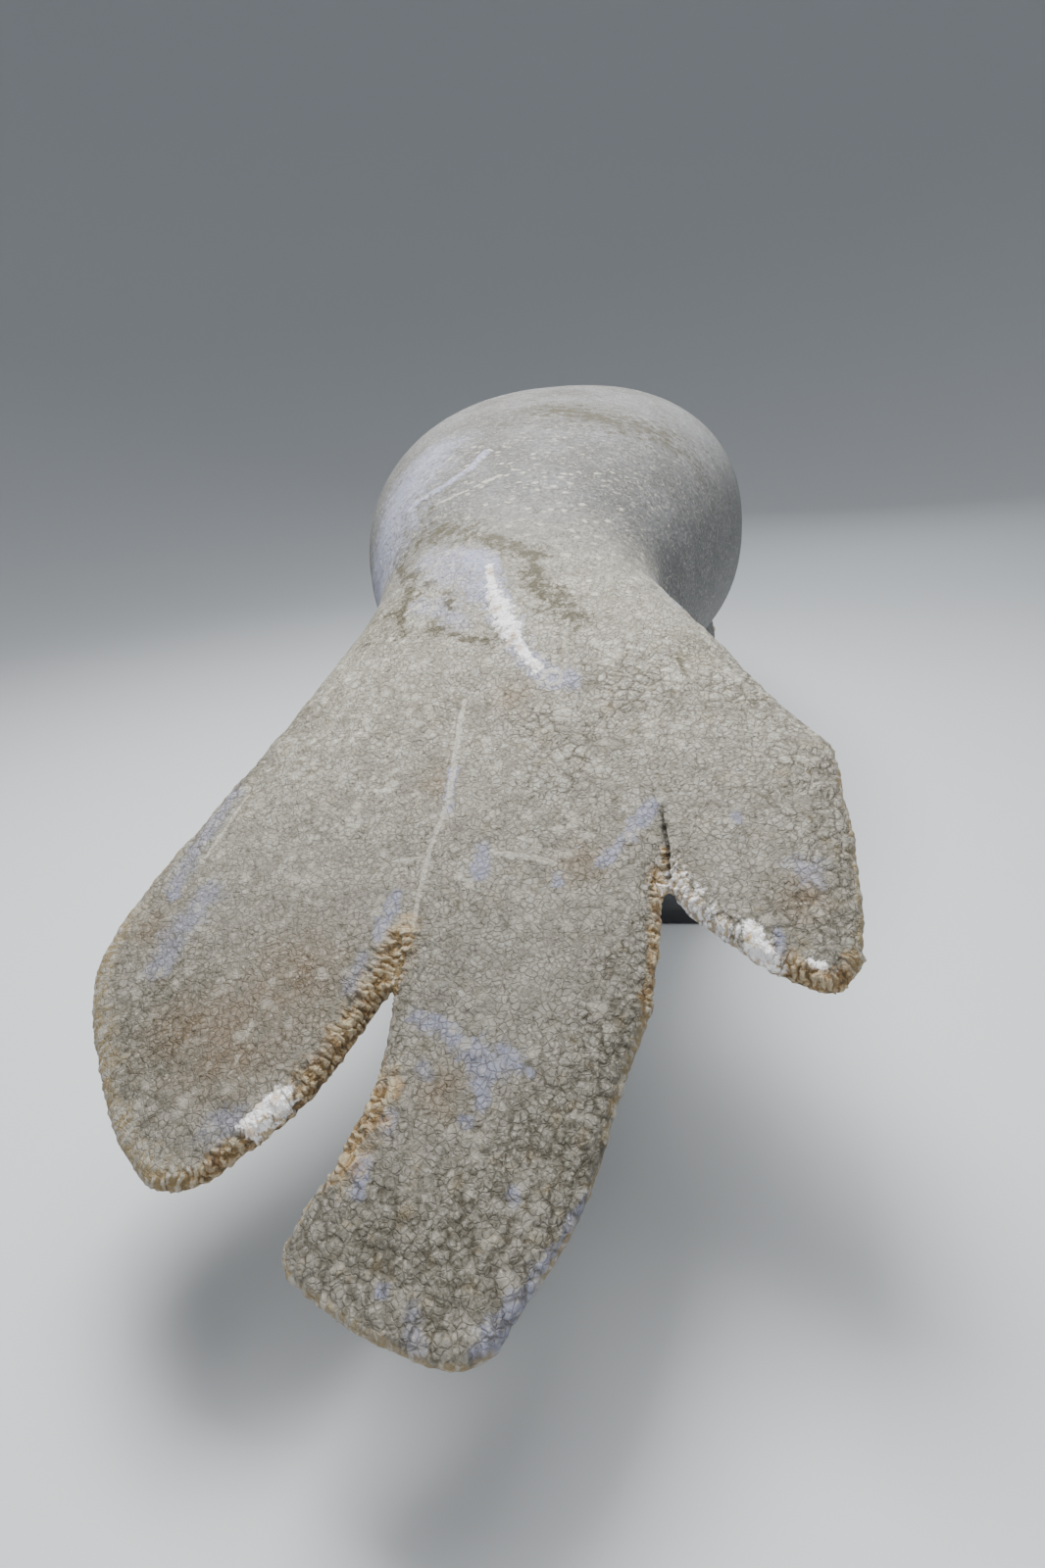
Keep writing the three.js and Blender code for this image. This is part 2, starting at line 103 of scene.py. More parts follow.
def hermite(places: Array, rows: Array, at: Array) -> Array:
    """Read smooth curves through the columns of a table.

    Args:
        places: The table's first column, rising.
        rows: Its other columns.
        at: Where to read the curves.

    Returns:
        One row of values for each place asked for.
    """
    gaps = np.diff(places)[:, None]
    rises = np.diff(rows, axis=0) / gaps
    inner = (rises[1:] * gaps[:-1] + rises[:-1] * gaps[1:]) / (gaps[1:] + gaps[:-1])
    slopes = np.vstack([rises[:1], inner, rises[-1:]])
    i = np.clip(np.searchsorted(places, at) - 1, 0, len(places) - 2)
    step = gaps[i]
    t = ((at - places[i]) / step[:, 0])[:, None]
    return (
        rows[i] * (2 * t**3 - 3 * t**2 + 1)
        + slopes[i] * step * (t**3 - 2 * t**2 + t)
        + rows[i + 1] * (3 * t**2 - 2 * t**3)
        + slopes[i + 1] * step * (t**3 - t**2)
    )


@dataclass(frozen=True)
class Spine:
    """The animal's bent axis, and the way between it and the straight animal.

    A place on the straight animal is across (to its left), along (from the snout's tip) and
    above its axis, in metres.
    """

    length: float = 3.046
    paddle_start: float = 2.22
    balance: float = 1.30
    axis_height: float = 0.60
    head_dip: float = radians(12)
    trunk_droop: float = radians(6)
    paddle_droop: float = radians(29)
    tail_swing: float = radians(-2)
    tail_roll: float = radians(-6)
    neck_bend: tuple[float, float] = (0.15, 0.75)
    trunk_bend: tuple[float, float] = (1.30, 2.10)
    stock_bend: tuple[float, float] = (2.05, 2.50)
    swing_bend: tuple[float, float] = (1.60, 2.40)
    roll_bend: tuple[float, float] = (1.90, 2.50)
    step: float = 0.004

    def table(self) -> tuple[Array, Array, Array, Array, Array]:
        """Follow the axis in small steps.

        Returns:
            The stations, and the place, forward, sideways and upward directions at each.
        """
        s = np.arange(0.0, self.length + 0.2, self.step)
        droop = (
            self.trunk_droop * smoothstep(s, *self.trunk_bend)
            + (self.paddle_droop - self.trunk_droop) * smoothstep(s, *self.stock_bend)
            - self.head_dip * (1 - smoothstep(s, *self.neck_bend))
        )
        swing = self.tail_swing * smoothstep(s, *self.swing_bend)
        roll = (self.tail_roll * smoothstep(s, *self.roll_bend))[:, None]
        fore = np.cos(droop)
        ahead = np.stack([fore * np.sin(swing), fore * np.cos(swing), -np.sin(droop)], 1)
        level = np.stack([np.cos(swing), -np.sin(swing), np.zeros_like(swing)], 1)
        side = level * np.cos(roll) + np.cross(level, ahead) * np.sin(roll)
        up = np.cross(side, ahead)
        place = np.vstack([np.zeros(3), np.cumsum(ahead[:-1] * self.step, axis=0)])
        place += (0, 0, self.axis_height) - place[round(self.balance / self.step)]
        return s, place, ahead, side, up

    def at(self, along: Array) -> tuple[Array, Array, Array, Array]:
        """Read the axis at any stations, before the snout's tip too.

        Args:
            along: The stations.

        Returns:
            The place, forward, sideways and upward directions at each.
        """
        s, *columns = self.table()
        place, ahead, side, up = (
            np.stack([np.interp(along, s, column[:, k]) for k in range(3)], 1) for column in columns
        )
        beyond = (along - np.clip(along, s[0], s[-1]))[:, None]
        return place + ahead * beyond, ahead, side, up

    def world(self, body: Array) -> Array:
        """Carry points of the straight animal to their places in the pose."""
        place, _, side, up = self.at(body[:, 1])
        return place + side * body[:, :1] + up * body[:, 2:]

    def straight(self, points: Array) -> Array:
        """Find where points of the posed animal lie on the straight one.

        Args:
            points: Places in the model's frame.

        Returns:
            Across, along and above for each.
        """
        along = points[:, 1] + self.balance
        for _ in range(7):
            place, ahead, side, up = self.at(along)
            offset = points - place
            along = along + 0.9 * np.sum(offset * ahead, axis=1)
        place, ahead, side, up = self.at(along)
        offset = points - place
        return np.stack([np.sum(offset * side, 1), along, np.sum(offset * up, 1)], 1)


SPINE = Spine()


@dataclass(frozen=True)
class Trunk:
    """The trunk's sections: half widths, height and depth at stations from the snout's tip."""

    head_squareness: float = 2.1
    barrel_squareness: float = 2.3
    sections: tuple[tuple[float, ...], ...] = (
        (0.006, 0.060, 0.060, 0.056, 0.030), (0.018, 0.078, 0.078, 0.068, 0.050),
        (0.045, 0.092, 0.092, 0.078, 0.072), (0.100, 0.106, 0.106, 0.090, 0.096),
        (0.150, 0.119, 0.119, 0.100, 0.113), (0.205, 0.134, 0.134, 0.111, 0.127),
        (0.300, 0.163, 0.163, 0.128, 0.148), (0.400, 0.192, 0.192, 0.148, 0.171),
        (0.500, 0.224, 0.224, 0.172, 0.196), (0.650, 0.273, 0.273, 0.208, 0.232),
        (0.900, 0.330, 0.330, 0.250, 0.274), (1.150, 0.356, 0.364, 0.276, 0.298),
        (1.350, 0.363, 0.375, 0.281, 0.302), (1.600, 0.343, 0.357, 0.266, 0.282),
        (1.850, 0.294, 0.302, 0.227, 0.233), (2.050, 0.232, 0.232, 0.176, 0.170),
        (2.160, 0.195, 0.195, 0.141, 0.132), (2.220, 0.190, 0.196, 0.122, 0.102),
    )
    creases: tuple[tuple[float, float, float], ...] = (
        (0.392, 0.006, 0.014), (0.452, 0.005, 0.016), (0.560, 0.0045, 0.018),
    )

    def section(self, along: Array) -> tuple[Array, Array, Array, Array]:
        """Read the section's middle and half sizes.

        Args:
            along: Stations from the snout's tip.

        Returns:
            The middle across and above the axis, and the half width and half height.
        """
        table = np.array(self.sections)
        left, right, top, bottom = hermite(table[:, 0], table[:, 1:], along).T
        dip = sum(deep * np.exp(-(((along - at) / half) ** 2)) for at, deep, half in self.creases)
        half, tall = (left + right) / 2 - dip, (top + bottom) / 2 - dip
        return (left - right) / 2, (top - bottom) / 2, half, tall

    def fair(self, body: Array) -> Array:
        """Draw points that lie close to the trunk's surface onto it, so that no facet is left.

        Args:
            body: Places on the straight animal.

        Returns:
            The same places, moved where they belong to the trunk.
        """
        across, above, half, tall = self.section(body[:, 1])
        u, v = (body[:, 0] - across) / half, (body[:, 2] - above) / tall
        fuller = smoothstep(body[:, 1], 0.6, 1.1) * (self.barrel_squareness - self.head_squareness)
        square = self.head_squareness + fuller
        square += (2 - square) * smoothstep(body[:, 1], SPINE.paddle_start - 0.12, SPINE.paddle_start)
        reach = (np.abs(u) ** square + np.abs(v) ** square) ** (1 / square)
        reach = np.maximum(reach, 0.2)
        on_trunk = smoothstep(body[:, 1], 0.17, 0.24) * (1 - smoothstep(body[:, 1], 2.12, 2.21))
        weight = on_trunk * (1 - smoothstep(np.abs(reach - 1), 0.02, 0.045))
        faired = body.copy()
        faired[:, 0] += weight * (u * half / reach + across - body[:, 0])
        faired[:, 2] += weight * (v * tall / reach + above - body[:, 2])
        return faired


TRUNK = Trunk()


class Mark(Enum):
    """Kinds of old injury and growth on the hide, each an attribute of the skin."""

    WHITE = "white_scar"
    BLUE = "blue_scar"
    HAZE = "pale_haze"
    PALE = "pale_line"
    ALGAE = "algae"
    CLEFT = "cleft"


@dataclass(frozen=True)
class Stroke:
    """One mark on the back or the paddle's upper side, drawn along a path.

    The path's points are across and past the paddle's start, in metres. The width is half the
    mark's own, and raised is how far its middle stands proud.
    """

    width: float
    raised: float
    path: Path


def strokes(*rows: tuple) -> tuple[Stroke, ...]:
    """Read marks from rows.

    Args:
        rows: Half width and relief in tenths of a millimetre, then the path in millimetres.

    Returns:
        The marks, in metres.
    """
    return tuple(Stroke(width / 1e4, raised / 1e4, in_metres(path)) for width, raised, *path in rows)


STROKES = {
    Mark.WHITE: strokes(
        (48, 20, (9, 46), (4, 68)), (80, 30, (3, 78), (-6, 106)),
        (116, 30, (-10, 112), (-19, 138), (-27, 158)), (62, 20, (-30, 160), (-42, 182), (-56, 204)),
        (80, 30, (149, 641), (161, 652), (173, 665)), (85, 20, (-241, 518), (-248, 530), (-252, 543)),
        (36, 0, (-286, 548), (-294, 552)),
    ),
    Mark.BLUE: strokes(
        (45, 0, (40, 780), (41, 783)), (160, 15, (40, 22), (12, 44), (-4, 100), (-22, 145)),
        (130, 15, (-22, 145), (-45, 190), (-70, 218), (-92, 222)),
        (60, 50, (50, -237), (66, -185), (97, -156), (150, -142)), (85, 0, (-6, 416), (-7, 442)),
        (75, 0, (-168, 380), (-144, 414), (-120, 443)), (55, 0, (-79, 453), (-81, 459)),
        (75, 0, (74, 460), (78, 481), (84, 501)), (55, 0, (30, 320), (31, 368)),
        (75, 0, (320, 428), (318, 434)), (85, 0, (42, 580), (22, 586), (3, 600)),
        (130, 0, (-13, 613), (-26, 626), (-40, 620)), (50, 0, (-40, 618), (-60, 631)),
        (75, 0, (-22, 640), (-24, 652)), (75, 0, (52, 660), (53, 668)), (75, 0, (69, 696), (68, 716)),
        (55, 0, (-10, 666), (-13, 669)), (65, 0, (-51, 718), (-53, 723)),
        (60, 0, (-104, 722), (-85, 756), (-68, 776)), (110, 0, (-68, 776), (-55, 794), (-36, 818)),
        (55, 0, (-243, 401), (-245, 406)), (50, 0, (-263, 520), (-262, 550)),
    ),
    Mark.HAZE: strokes(
        (70, 0, (27, 624), (26, 630)), (170, 0, (98, -2), (60, 12), (20, 28)),
        (200, 0, (80, 30), (45, 50), (15, 85)), (130, 0, (95, 80), (60, 100), (35, 125)),
        (110, 0, (290, 300), (310, 368), (322, 416)), (150, 0, (278, 440), (300, 480), (305, 510)),
        (70, 0, (97, 523), (103, 550)), (110, 0, (186, 660), (205, 668)),
        (120, 0, (-292, 458), (-300, 466)), (60, 0, (16, 795), (12, 815)),
        (500, 0, (150, -300), (190, -170), (200, -80)), (140, 0, (-215, 60), (-200, -20)),
    ),
    Mark.PALE: strokes(
        (32, 15, (23, 235), (29, 300), (31, 355)), (24, 12, (31, 355), (46, 415), (50, 450), (54, 500)),
        (22, 0, (268, 311), (284, 353), (295, 391)), (18, 0, (102, 442), (89, 424), (53, 419)),
        (24, 10, (94, -115), (56, -123), (15, -147)), (15, 0, (-138, 374), (-147, 391)),
        (30, 10, (-16, 421), (-45, 429), (-76, 438)), (13, 0, (192, 556), (194, 590)),
        (11, 0, (196, 600), (203, 624)),
        (20, 20, (-62, 216), (-68, 226), (-80, 226), (-82, 214), (-70, 208)),
    ),
    Mark.ALGAE: strokes(
        (220, 0, (120, -55), (80, -46), (40, -24)), (160, 0, (30, -16), (-13, 16), (-56, 32)),
        (200, 0, (-40, 55), (-62, 95), (-94, 136)), (100, 0, (110, 10), (120, 70), (110, 120)),
        (110, 0, (88, 50), (89, 64)), (70, 0, (122, 28), (119, 40)), (70, 0, (58, 72), (50, 100)),
        (80, 0, (78, -150), (105, -122), (120, -90)), (560, 0, (-30, -400), (-130, -370), (-205, -390)),
        (80, 0, (145, 69), (113, 62)), (90, 0, (154, -51), (140, -20), (128, 12)),
        (90, 0, (73, 120), (35, 145), (-1, 159)), (50, 0, (-203, 182), (-211, 220)),
    ),
    Mark.CLEFT: strokes(
        (16, -60, (-175, 386), (-178, 421), (-176, 450)),
    ),
}


class Tint(Enum):
    """Broad differences over the back and paddle, each an attribute of the skin."""

    COARSE = "coarse"
    SMOOTH = "smooth"
    EARTH = "earth"
    OLIVE = "olive"
    PIMPLED = "pimpled"


# Each tint's soft round stretches: across, past the paddle's start and radius, in millimetres.
BLOTS = {
    Tint.COARSE: (
        (-140, 550, 35), (-120, 620, 45), (-90, 680, 45), (-50, 730, 45), (30, 760, 60), (80, 760, 50),
        (-310, 370, 35), (-320, 440, 30), (-290, 510, 40), (-80, 300, 50), (-160, 240, 50),
        (-270, 240, 40),
    ),
    Tint.SMOOTH: (
        (-70, 520, 50), (-60, 580, 40), (-10, 340, 45), (-230, 450, 35), (60, 180, 30), (150, 450, 70),
        (200, 550, 60), (260, 400, 45),
    ),
    Tint.EARTH: (
        (210, 600, 50), (160, 540, 55), (260, 580, 45), (45, 330, 20), (-30, 235, 18), (10, 645, 22),
        (330, 470, 22), (-290, 490, 25), (-100, 440, 20),
    ),
    Tint.OLIVE: (
        (-35, 715, 50), (0, 760, 45), (-90, 670, 35), (290, 610, 40), (300, 540, 35), (290, 270, 30),
        (230, 190, 30), (150, 80, 45), (-140, 610, 50), (-110, 700, 40), (-220, 170, 25), (55, 740, 30),
        (-200, 520, 25),
    ),
    Tint.PIMPLED: (
        (-50, -130, 100), (-110, -60, 90), (-130, 30, 80), (-110, 100, 70), (20, -200, 120),
        (-200, 220, 60), (-120, 180, 60), (120, 130, 60), (180, 240, 80), (120, 340, 70),
    ),
}


class Rim(Enum):
    """What the paddle's margin is like along each of its runs, each an attribute of the skin."""

    NATURAL = "natural_rim"
    RAW = "raw_rim"
    WHITE = "white_rim"


@dataclass(frozen=True)
class Edge:
    """A run of the paddle's margin: its kind, its breadth and its path, as a mark's."""

    rim: Rim
    breadth: float
    path: Path


def edges(*rows: tuple) -> tuple[Edge, ...]:
    """Read runs of the margin from rows.

    Args:
        rows: Kind, breadth in tenths of a millimetre, then the path in millimetres.

    Returns:
        The runs, in metres.
    """
    return tuple(Edge(rim, breadth / 1e4, in_metres(path)) for rim, breadth, *path in rows)


EDGES = edges(
    (Rim.NATURAL, 50, (212, 70), (243, 150), (274, 225), (304, 285)),
    (Rim.NATURAL, 110, (304, 285), (347, 370), (360, 400), (379, 450)),
    (Rim.NATURAL, 280, (379, 450), (389, 490), (384, 530), (367, 570), (341, 615)),
    (Rim.NATURAL, 210, (341, 615), (320, 650), (292, 680), (271, 700), (238, 711)),
    (Rim.RAW, 100, (238, 711), (222, 711), (203, 700), (184, 684)),
    (Rim.RAW, 80, (182, 682), (150, 656), (144, 650)),
    (Rim.RAW, 170, (144, 652), (114, 615), (90, 570), (73, 530), (62, 500)),
    (Rim.NATURAL, 30, (62, 500), (69, 545), (70, 585), (73, 625)),
    (Rim.RAW, 240, (70, 640), (78, 658), (89, 677), (91, 688)),
    (Rim.NATURAL, 60, (97, 695), (112, 710), (118, 730), (129, 750), (126, 768)),
    (Rim.NATURAL, 70, (126, 768), (112, 781), (86, 793), (63, 806), (32, 817)),
    (Rim.NATURAL, 40, (32, 817), (0, 826), (-26, 826), (-43, 817)),
    (Rim.NATURAL, 12, (-43, 817), (-66, 781), (-101, 730), (-121, 677)),
    (Rim.NATURAL, 50, (-121, 677), (-138, 625), (-153, 585), (-156, 575)),
    (Rim.RAW, 90, (-156, 575), (-163, 545), (-168, 500), (-170, 450)),
    (Rim.RAW, 40, (-175, 425), (-179, 450)),
    (Rim.WHITE, 120, (-181, 452), (-187, 472), (-200, 494), (-224, 517)),
    (Rim.WHITE, 40, (-224, 517), (-240, 533), (-262, 550)),
    (Rim.RAW, 130, (-262, 550), (-286, 564), (-302, 570), (-321, 553)),
    (Rim.NATURAL, 60, (-321, 553), (-335, 510), (-342, 450), (-345, 410)),
    (Rim.NATURAL, 60, (-345, 410), (-343, 370), (-347, 318), (-327, 285)),
    (Rim.NATURAL, 40, (-327, 285), (-293, 225), (-262, 150), (-226, 70)),
)


def path_reach(points: Array, path: Path) -> tuple[Array, Array]:
    """Measure how far points are from a path, and how far along it.

    Args:
        points: Places in the plane of the path.
        path: The path's corners.

    Returns:
        The distance to the path, and the length along it of the nearest place.
    """
    nearest = np.full(len(points), np.inf)
    arc = np.zeros(len(points))
    walked = 0.0
    for start, end in zip(np.array(path[:-1]), np.array(path[1:])):
        run = end - start
        length = float(np.hypot(*run))
        share = np.clip((points - start) @ run / length**2, 0.0, 1.0)
        gap = np.linalg.norm(points - start - share[:, None] * run, axis=1)
        closer = gap < nearest
        nearest[closer] = gap[closer]
        arc[closer] = walked + share[closer] * length
        walked += length
    return nearest, arc


def linear(red: int, green: int, blue: int) -> tuple[float, float, float, float]:
    """Turn a colour as seen on screen, 0 to 255, into the linear one that shaders take."""
    shades = (value / 255 for value in (red, green, blue))
    return (*(s / 12.92 if s <= 0.04045 else ((s + 0.055) / 1.055) ** 2.4 for s in shades), 1.0)


@dataclass
class Graph:
    """Adds nodes to a tree and links them, for relief and for materials alike."""

    tree: bpy.types.NodeTree
    geometry: bool = False

    def feed(self, node: bpy.types.Node, name: str | int, value: object) -> None:
        """Link another node's output to a socket, or set the socket.

        Args:
            node: The node that takes it.
            name: The socket's name or number.
            value: Another node's output, or a plain value.
        """
        if isinstance(value, Sockets):
            self.tree.links.new(value, node.inputs[name])
        else:
            node.inputs[name].default_value = value

    def node(self, kind: str, inputs: dict | None = None, **settings: object) -> bpy.types.Node:
        """Add a node.

        Args:
            kind: The node's type.
            inputs: What goes into its sockets, each a value or another node's output.
            settings: Its properties.

        Returns:
            The new node.
        """
        node = self.tree.nodes.new(kind)
        for name, value in settings.items():
            setattr(node, name, value)
        for name, value in (inputs or {}).items():
            self.feed(node, name, value)
        return node

    def math(self, operation: str, a: object, b: object = 0.0, clamp: bool = False) -> Sockets:
        """Work out one step of arithmetic."""
        node = self.node("ShaderNodeMath", {0: a, 1: b}, operation=operation, use_clamp=clamp)
        return node.outputs[0]

    def total(self, *values: object) -> Sockets:
        """Add values up."""
        return reduce(lambda a, b: self.math("ADD", a, b), values)

    def times(self, *values: object) -> Sockets:
        """Multiply values together."""
        return reduce(lambda a, b: self.math("MULTIPLY", a, b), values)

    def less(self, value: object, by: object) -> Sockets:
        """Take one value from another."""
        return self.math("SUBTRACT", value, by)

    def off(self, name: str) -> Sockets:
        """Read where a mask of the piece's own isn't."""
        return self.math("SUBTRACT", 1.0, self.attribute(name), clamp=True)

    def rise(
        self, value: object, low: float, high: float, start: float = 0.0, end: float = 1.0
    ) -> Sockets:
        """Ease from one value to another as the input goes from low to high.

        Args:
            value: The input.
            low: Where it starts to change.
            high: Where it has changed.
            start: What comes out at low.
            end: What comes out at high.

        Returns:
            The eased value.
        """
        inputs = {"Value": value, "From Min": low, "From Max": high, "To Min": start, "To Max": end}
        node = self.node("ShaderNodeMapRange", inputs, interpolation_type="SMOOTHSTEP")
        return node.outputs["Result"]

    def noise(self, vector: object, scale: float, detail: float = 3.0, rough: float = 0.55) -> Sockets:
        """Read a cloudy noise about 0.5."""
        inputs = {"Vector": vector, "Scale": scale, "Detail": detail, "Roughness": rough}
        return self.node("ShaderNodeTexNoise", inputs).outputs[0]

    def waver(self, vector: object, scale: float, detail: float = 3.0, rough: float = 0.55) -> Sockets:
        """Read the same noise about 0."""
        return self.less(self.noise(vector, scale, detail, rough), 0.5)

    def cells(self, vector: object, scale: float, edges: bool = True, random: float = 1.0) -> Sockets:
        """Read a field of cells: the distance from their edges, or from their middles.

        Args:
            vector: Where the cells lie.
            scale: How many there are to a metre.
            edges: Whether to measure from their edges.
            random: How far their middles stray, from 0 to 1.

        Returns:
            The distance, in cells.
        """
        feature = "DISTANCE_TO_EDGE" if edges else "F1"
        inputs = {"Vector": vector, "Scale": scale, "Randomness": random}
        return self.node("ShaderNodeTexVoronoi", inputs, feature=feature).outputs["Distance"]

    def vector(self, operation: str, a: object, b: object) -> Sockets:
        """Work out one step on vectors; SCALE takes a number second."""
        second = "Scale" if operation == "SCALE" else 1
        return self.node("ShaderNodeVectorMath", {0: a, second: b}, operation=operation).outputs[0]

    def part(self, vector: object, index: int) -> Sockets:
        """Read one part of a vector."""
        return self.node("ShaderNodeSeparateXYZ", {0: vector}).outputs[index]

    def warped(self, vector: object, scale: float, amount: float) -> Sockets:
        """Push a vector about with noise, so that a pattern on it isn't regular.

        Args:
            vector: The vector to push about.
            scale: How fine the noise is.
            amount: How far it pushes, in metres.

        Returns:
            The loosened vector.
        """
        cloud = self.node("ShaderNodeTexNoise", {"Vector": vector, "Scale": scale, "Detail": 2.0})
        centred = self.vector("SUBTRACT", cloud.outputs["Color"], (0.5, 0.5, 0.5))
        return self.vector("ADD", vector, self.vector("SCALE", centred, amount))

    def attribute(self, name: str | Enum, vector: bool = False) -> Sockets:
        """Read one of the piece's own attributes.

        Args:
            name: The attribute's name.
            vector: Whether it holds vectors.

        Returns:
            Its value over the surface.
        """
        name = name.value if isinstance(name, Enum) else name
        if self.geometry:
            kind = "FLOAT_VECTOR" if vector else "FLOAT"
            node = self.node("GeometryNodeInputNamedAttribute", {"Name": name}, data_type=kind)
            return node.outputs["Attribute"]
        node = self.node("ShaderNodeAttribute", attribute_name=name)
        return node.outputs["Vector" if vector else "Fac"]

    def frayed(self, name: Enum, fray: Sockets, amount: float, low: float, high: float) -> Sockets:
        """Read a mark of the piece's own with its edge broken up by noise.

        Args:
            name: The mark.
            fray: Noise about 0.
            amount: How much of it comes in.
            low: Where the mark starts to show.
            high: Where it shows in full.

        Returns:
            The mark's mask.
        """
        return self.rise(self.total(self.attribute(name), self.times(fray, amount)), low, high)

    def blend(self, share: object, a: object, b: object, mode: str = "MIX") -> Sockets:
        """Mix two colours, each a node's output, a colour as seen on screen or a linear one.

        Args:
            share: How much of the second shows, from 0 to 1.
            a: The first colour.
            b: The second colour.
            mode: How they mix.

        Returns:
            The mixed colour.
        """
        node = self.node("ShaderNodeMix", data_type="RGBA", blend_type=mode, clamp_factor=True)
        for index, value in ((0, share), (6, a), (7, b)):
            seen = isinstance(value, tuple) and len(value) == 3
            self.feed(node, index, linear(*value) if seen else value)
        return node.outputs[2]


def blank_material(name: str) -> tuple[bpy.types.Material, Graph, bpy.types.Node]:
    """Start a material: it, its graph and its shader.

    Args:
        name: The material's name.

    Returns:
        The three, in that order.
    """
    made = bpy.data.materials.new(name)
    made.use_nodes = True
    return made, Graph(made.node_tree), made.node_tree.nodes["Principled BSDF"]


def deselect() -> None:
    """Leave nothing selected."""
    if bpy.context.object and bpy.context.object.mode != "OBJECT":
        bpy.ops.object.mode_set(mode="OBJECT")
    bpy.ops.object.select_all(action="DESELECT")


def take(piece: bpy.types.Object) -> None:
    """Select one piece and make it active.

    Args:
        piece: The piece to work on.
    """
    deselect()
    piece.select_set(True)
    bpy.context.view_layer.objects.active = piece


@contextmanager
def editing(
    piece: bpy.types.Object, kind: str = "VERT", chosen: Sequence[bool] | None = None
) -> Iterator[None]:
    """Work on a piece in edit mode, with some of its parts selected.

    Args:
        piece: The piece to work on.
        kind: What is selected: VERT, EDGE or FACE.
        chosen: Which of them are, or None for all.

    Yields:
        Nothing; the piece is in edit mode meanwhile.
    """
    take(piece)
    bpy.ops.object.mode_set(mode="EDIT")
    bpy.ops.mesh.select_mode(type=kind)
    bpy.ops.mesh.select_all(action="SELECT" if chosen is None else "DESELECT")
    if chosen is not None:
        bpy.ops.object.mode_set(mode="OBJECT")
        mesh = piece.data
        parts = {"VERT": mesh.vertices, "EDGE": mesh.edges, "FACE": mesh.polygons}[kind]
        parts.foreach_set("select", chosen)
        bpy.ops.object.mode_set(mode="EDIT")
    yield
    bpy.ops.object.mode_set(mode="OBJECT")


def settle(piece: bpy.types.Object, name: str) -> bpy.types.Object:
    """Put a piece's place into its mesh and name it.

    Args:
        piece: The piece to settle.
        name: Its name from here on.

    Returns:
        The same piece.
    """
    take(piece)
    bpy.ops.object.transform_apply(location=True, rotation=True, scale=True)
    piece.name = name
    piece.data.name = name
    return piece


def copy_of(node: str, name: str) -> bpy.types.Object:
    """Copy a solid under a new name, with the doubles of its mesh merged.

    Args:
        node: The solid's name.
        name: The copy's name.

    Returns:
        The copy.
    """
    source = bpy.data.objects[node]
    copy = source.copy()
    copy.data = source.data.copy()
    copy.name = name
    bpy.context.collection.objects.link(copy)
    with editing(copy):
        bpy.ops.mesh.remove_doubles(threshold=1e-5)
    return copy


def modify(piece: bpy.types.Object, kind: str, **settings: object) -> None:
    """Add a modifier and apply it.

    Args:
        piece: The piece that it changes.
        kind: The modifier's type.
        settings: Its properties.
    """
    take(piece)
    modifier = piece.modifiers.new(kind.lower(), kind)
    for name, value in settings.items():
        setattr(modifier, name, value)
    bpy.ops.object.modifier_apply(modifier=modifier.name)


def read_vectors(parts: bpy.types.bpy_prop_collection, name: str) -> Array:
    """Read a vector property of each of a mesh's parts.

    Args:
        parts: The mesh's vertices, normals or faces.
        name: The property.

    Returns:
        The vectors, one to a row.
    """
    flat = np.empty(len(parts) * 3, dtype=np.float32)
    parts.foreach_get(name, flat)
    return flat.reshape(-1, 3).astype(float)


def points_of(piece: bpy.types.Object) -> Array:
    """Read where a piece's vertices are."""
    return read_vectors(piece.data.vertices, "co")


def normals_of(piece: bpy.types.Object) -> Array:
    """Read which way a piece's vertices face."""
    return read_vectors(piece.data.vertex_normals, "vector")


def place(piece: bpy.types.Object, points: Array) -> None:
    """Move a piece's vertices to new places."""
    piece.data.vertices.foreach_set("co", points.astype(np.float32).ravel())
    piece.data.update()


def note(piece: bpy.types.Object, name: str, values: Array) -> None:
    """Keep one value or vector for each vertex as an attribute of the piece.

    Args:
        piece: The piece that keeps it.
        name: The attribute's name.
        values: One value or vector for each vertex.
    """
    vector = values.ndim == 2
    layer = piece.data.attributes.new(name, "FLOAT_VECTOR" if vector else "FLOAT", "POINT")
    layer.data.foreach_set("vector" if vector else "value", values.astype(np.float32).ravel())


def group(piece: bpy.types.Object, name: str, weights: Array) -> None:
    """Make a vertex group from weights, in tenths of full strength.

    Args:
        piece: The piece that gets it.
        name: The group's name.
        weights: A weight from 0 to 1 for each vertex.
    """
    made = piece.vertex_groups.new(name=name)
    steps = np.round(np.clip(weights, 0, 1) * 10).astype(int)
    for step in range(1, 11):
        members = np.flatnonzero(steps == step)
        if len(members):
            made.add(members.tolist(), step / 10, "REPLACE")


@dataclass(frozen=True)
class Ellipsoid:
    """A tilted ellipsoid on the straight animal: its middle, half sizes and turn sideways."""

    centre: tuple[float, float, float]
    radii: tuple[float, float, float]
    tilt: float

    def gap(self, body: Array) -> Array:
        """Measure roughly how far points of the straight animal are outside, less than 0 inside.

        Args:
            body: The points.

        Returns:
            Their distances, in metres.
        """
        offset = body - self.centre
        ahead = offset[:, 1] * cos(self.tilt) + offset[:, 2] * sin(self.tilt)
        above = -offset[:, 1] * sin(self.tilt) + offset[:, 2] * cos(self.tilt)
        x, y, z = self.radii
        reach = np.sqrt((offset[:, 0] / x) ** 2 + (ahead / y) ** 2 + (above / z) ** 2)
        return (reach - 1) * min(self.radii)


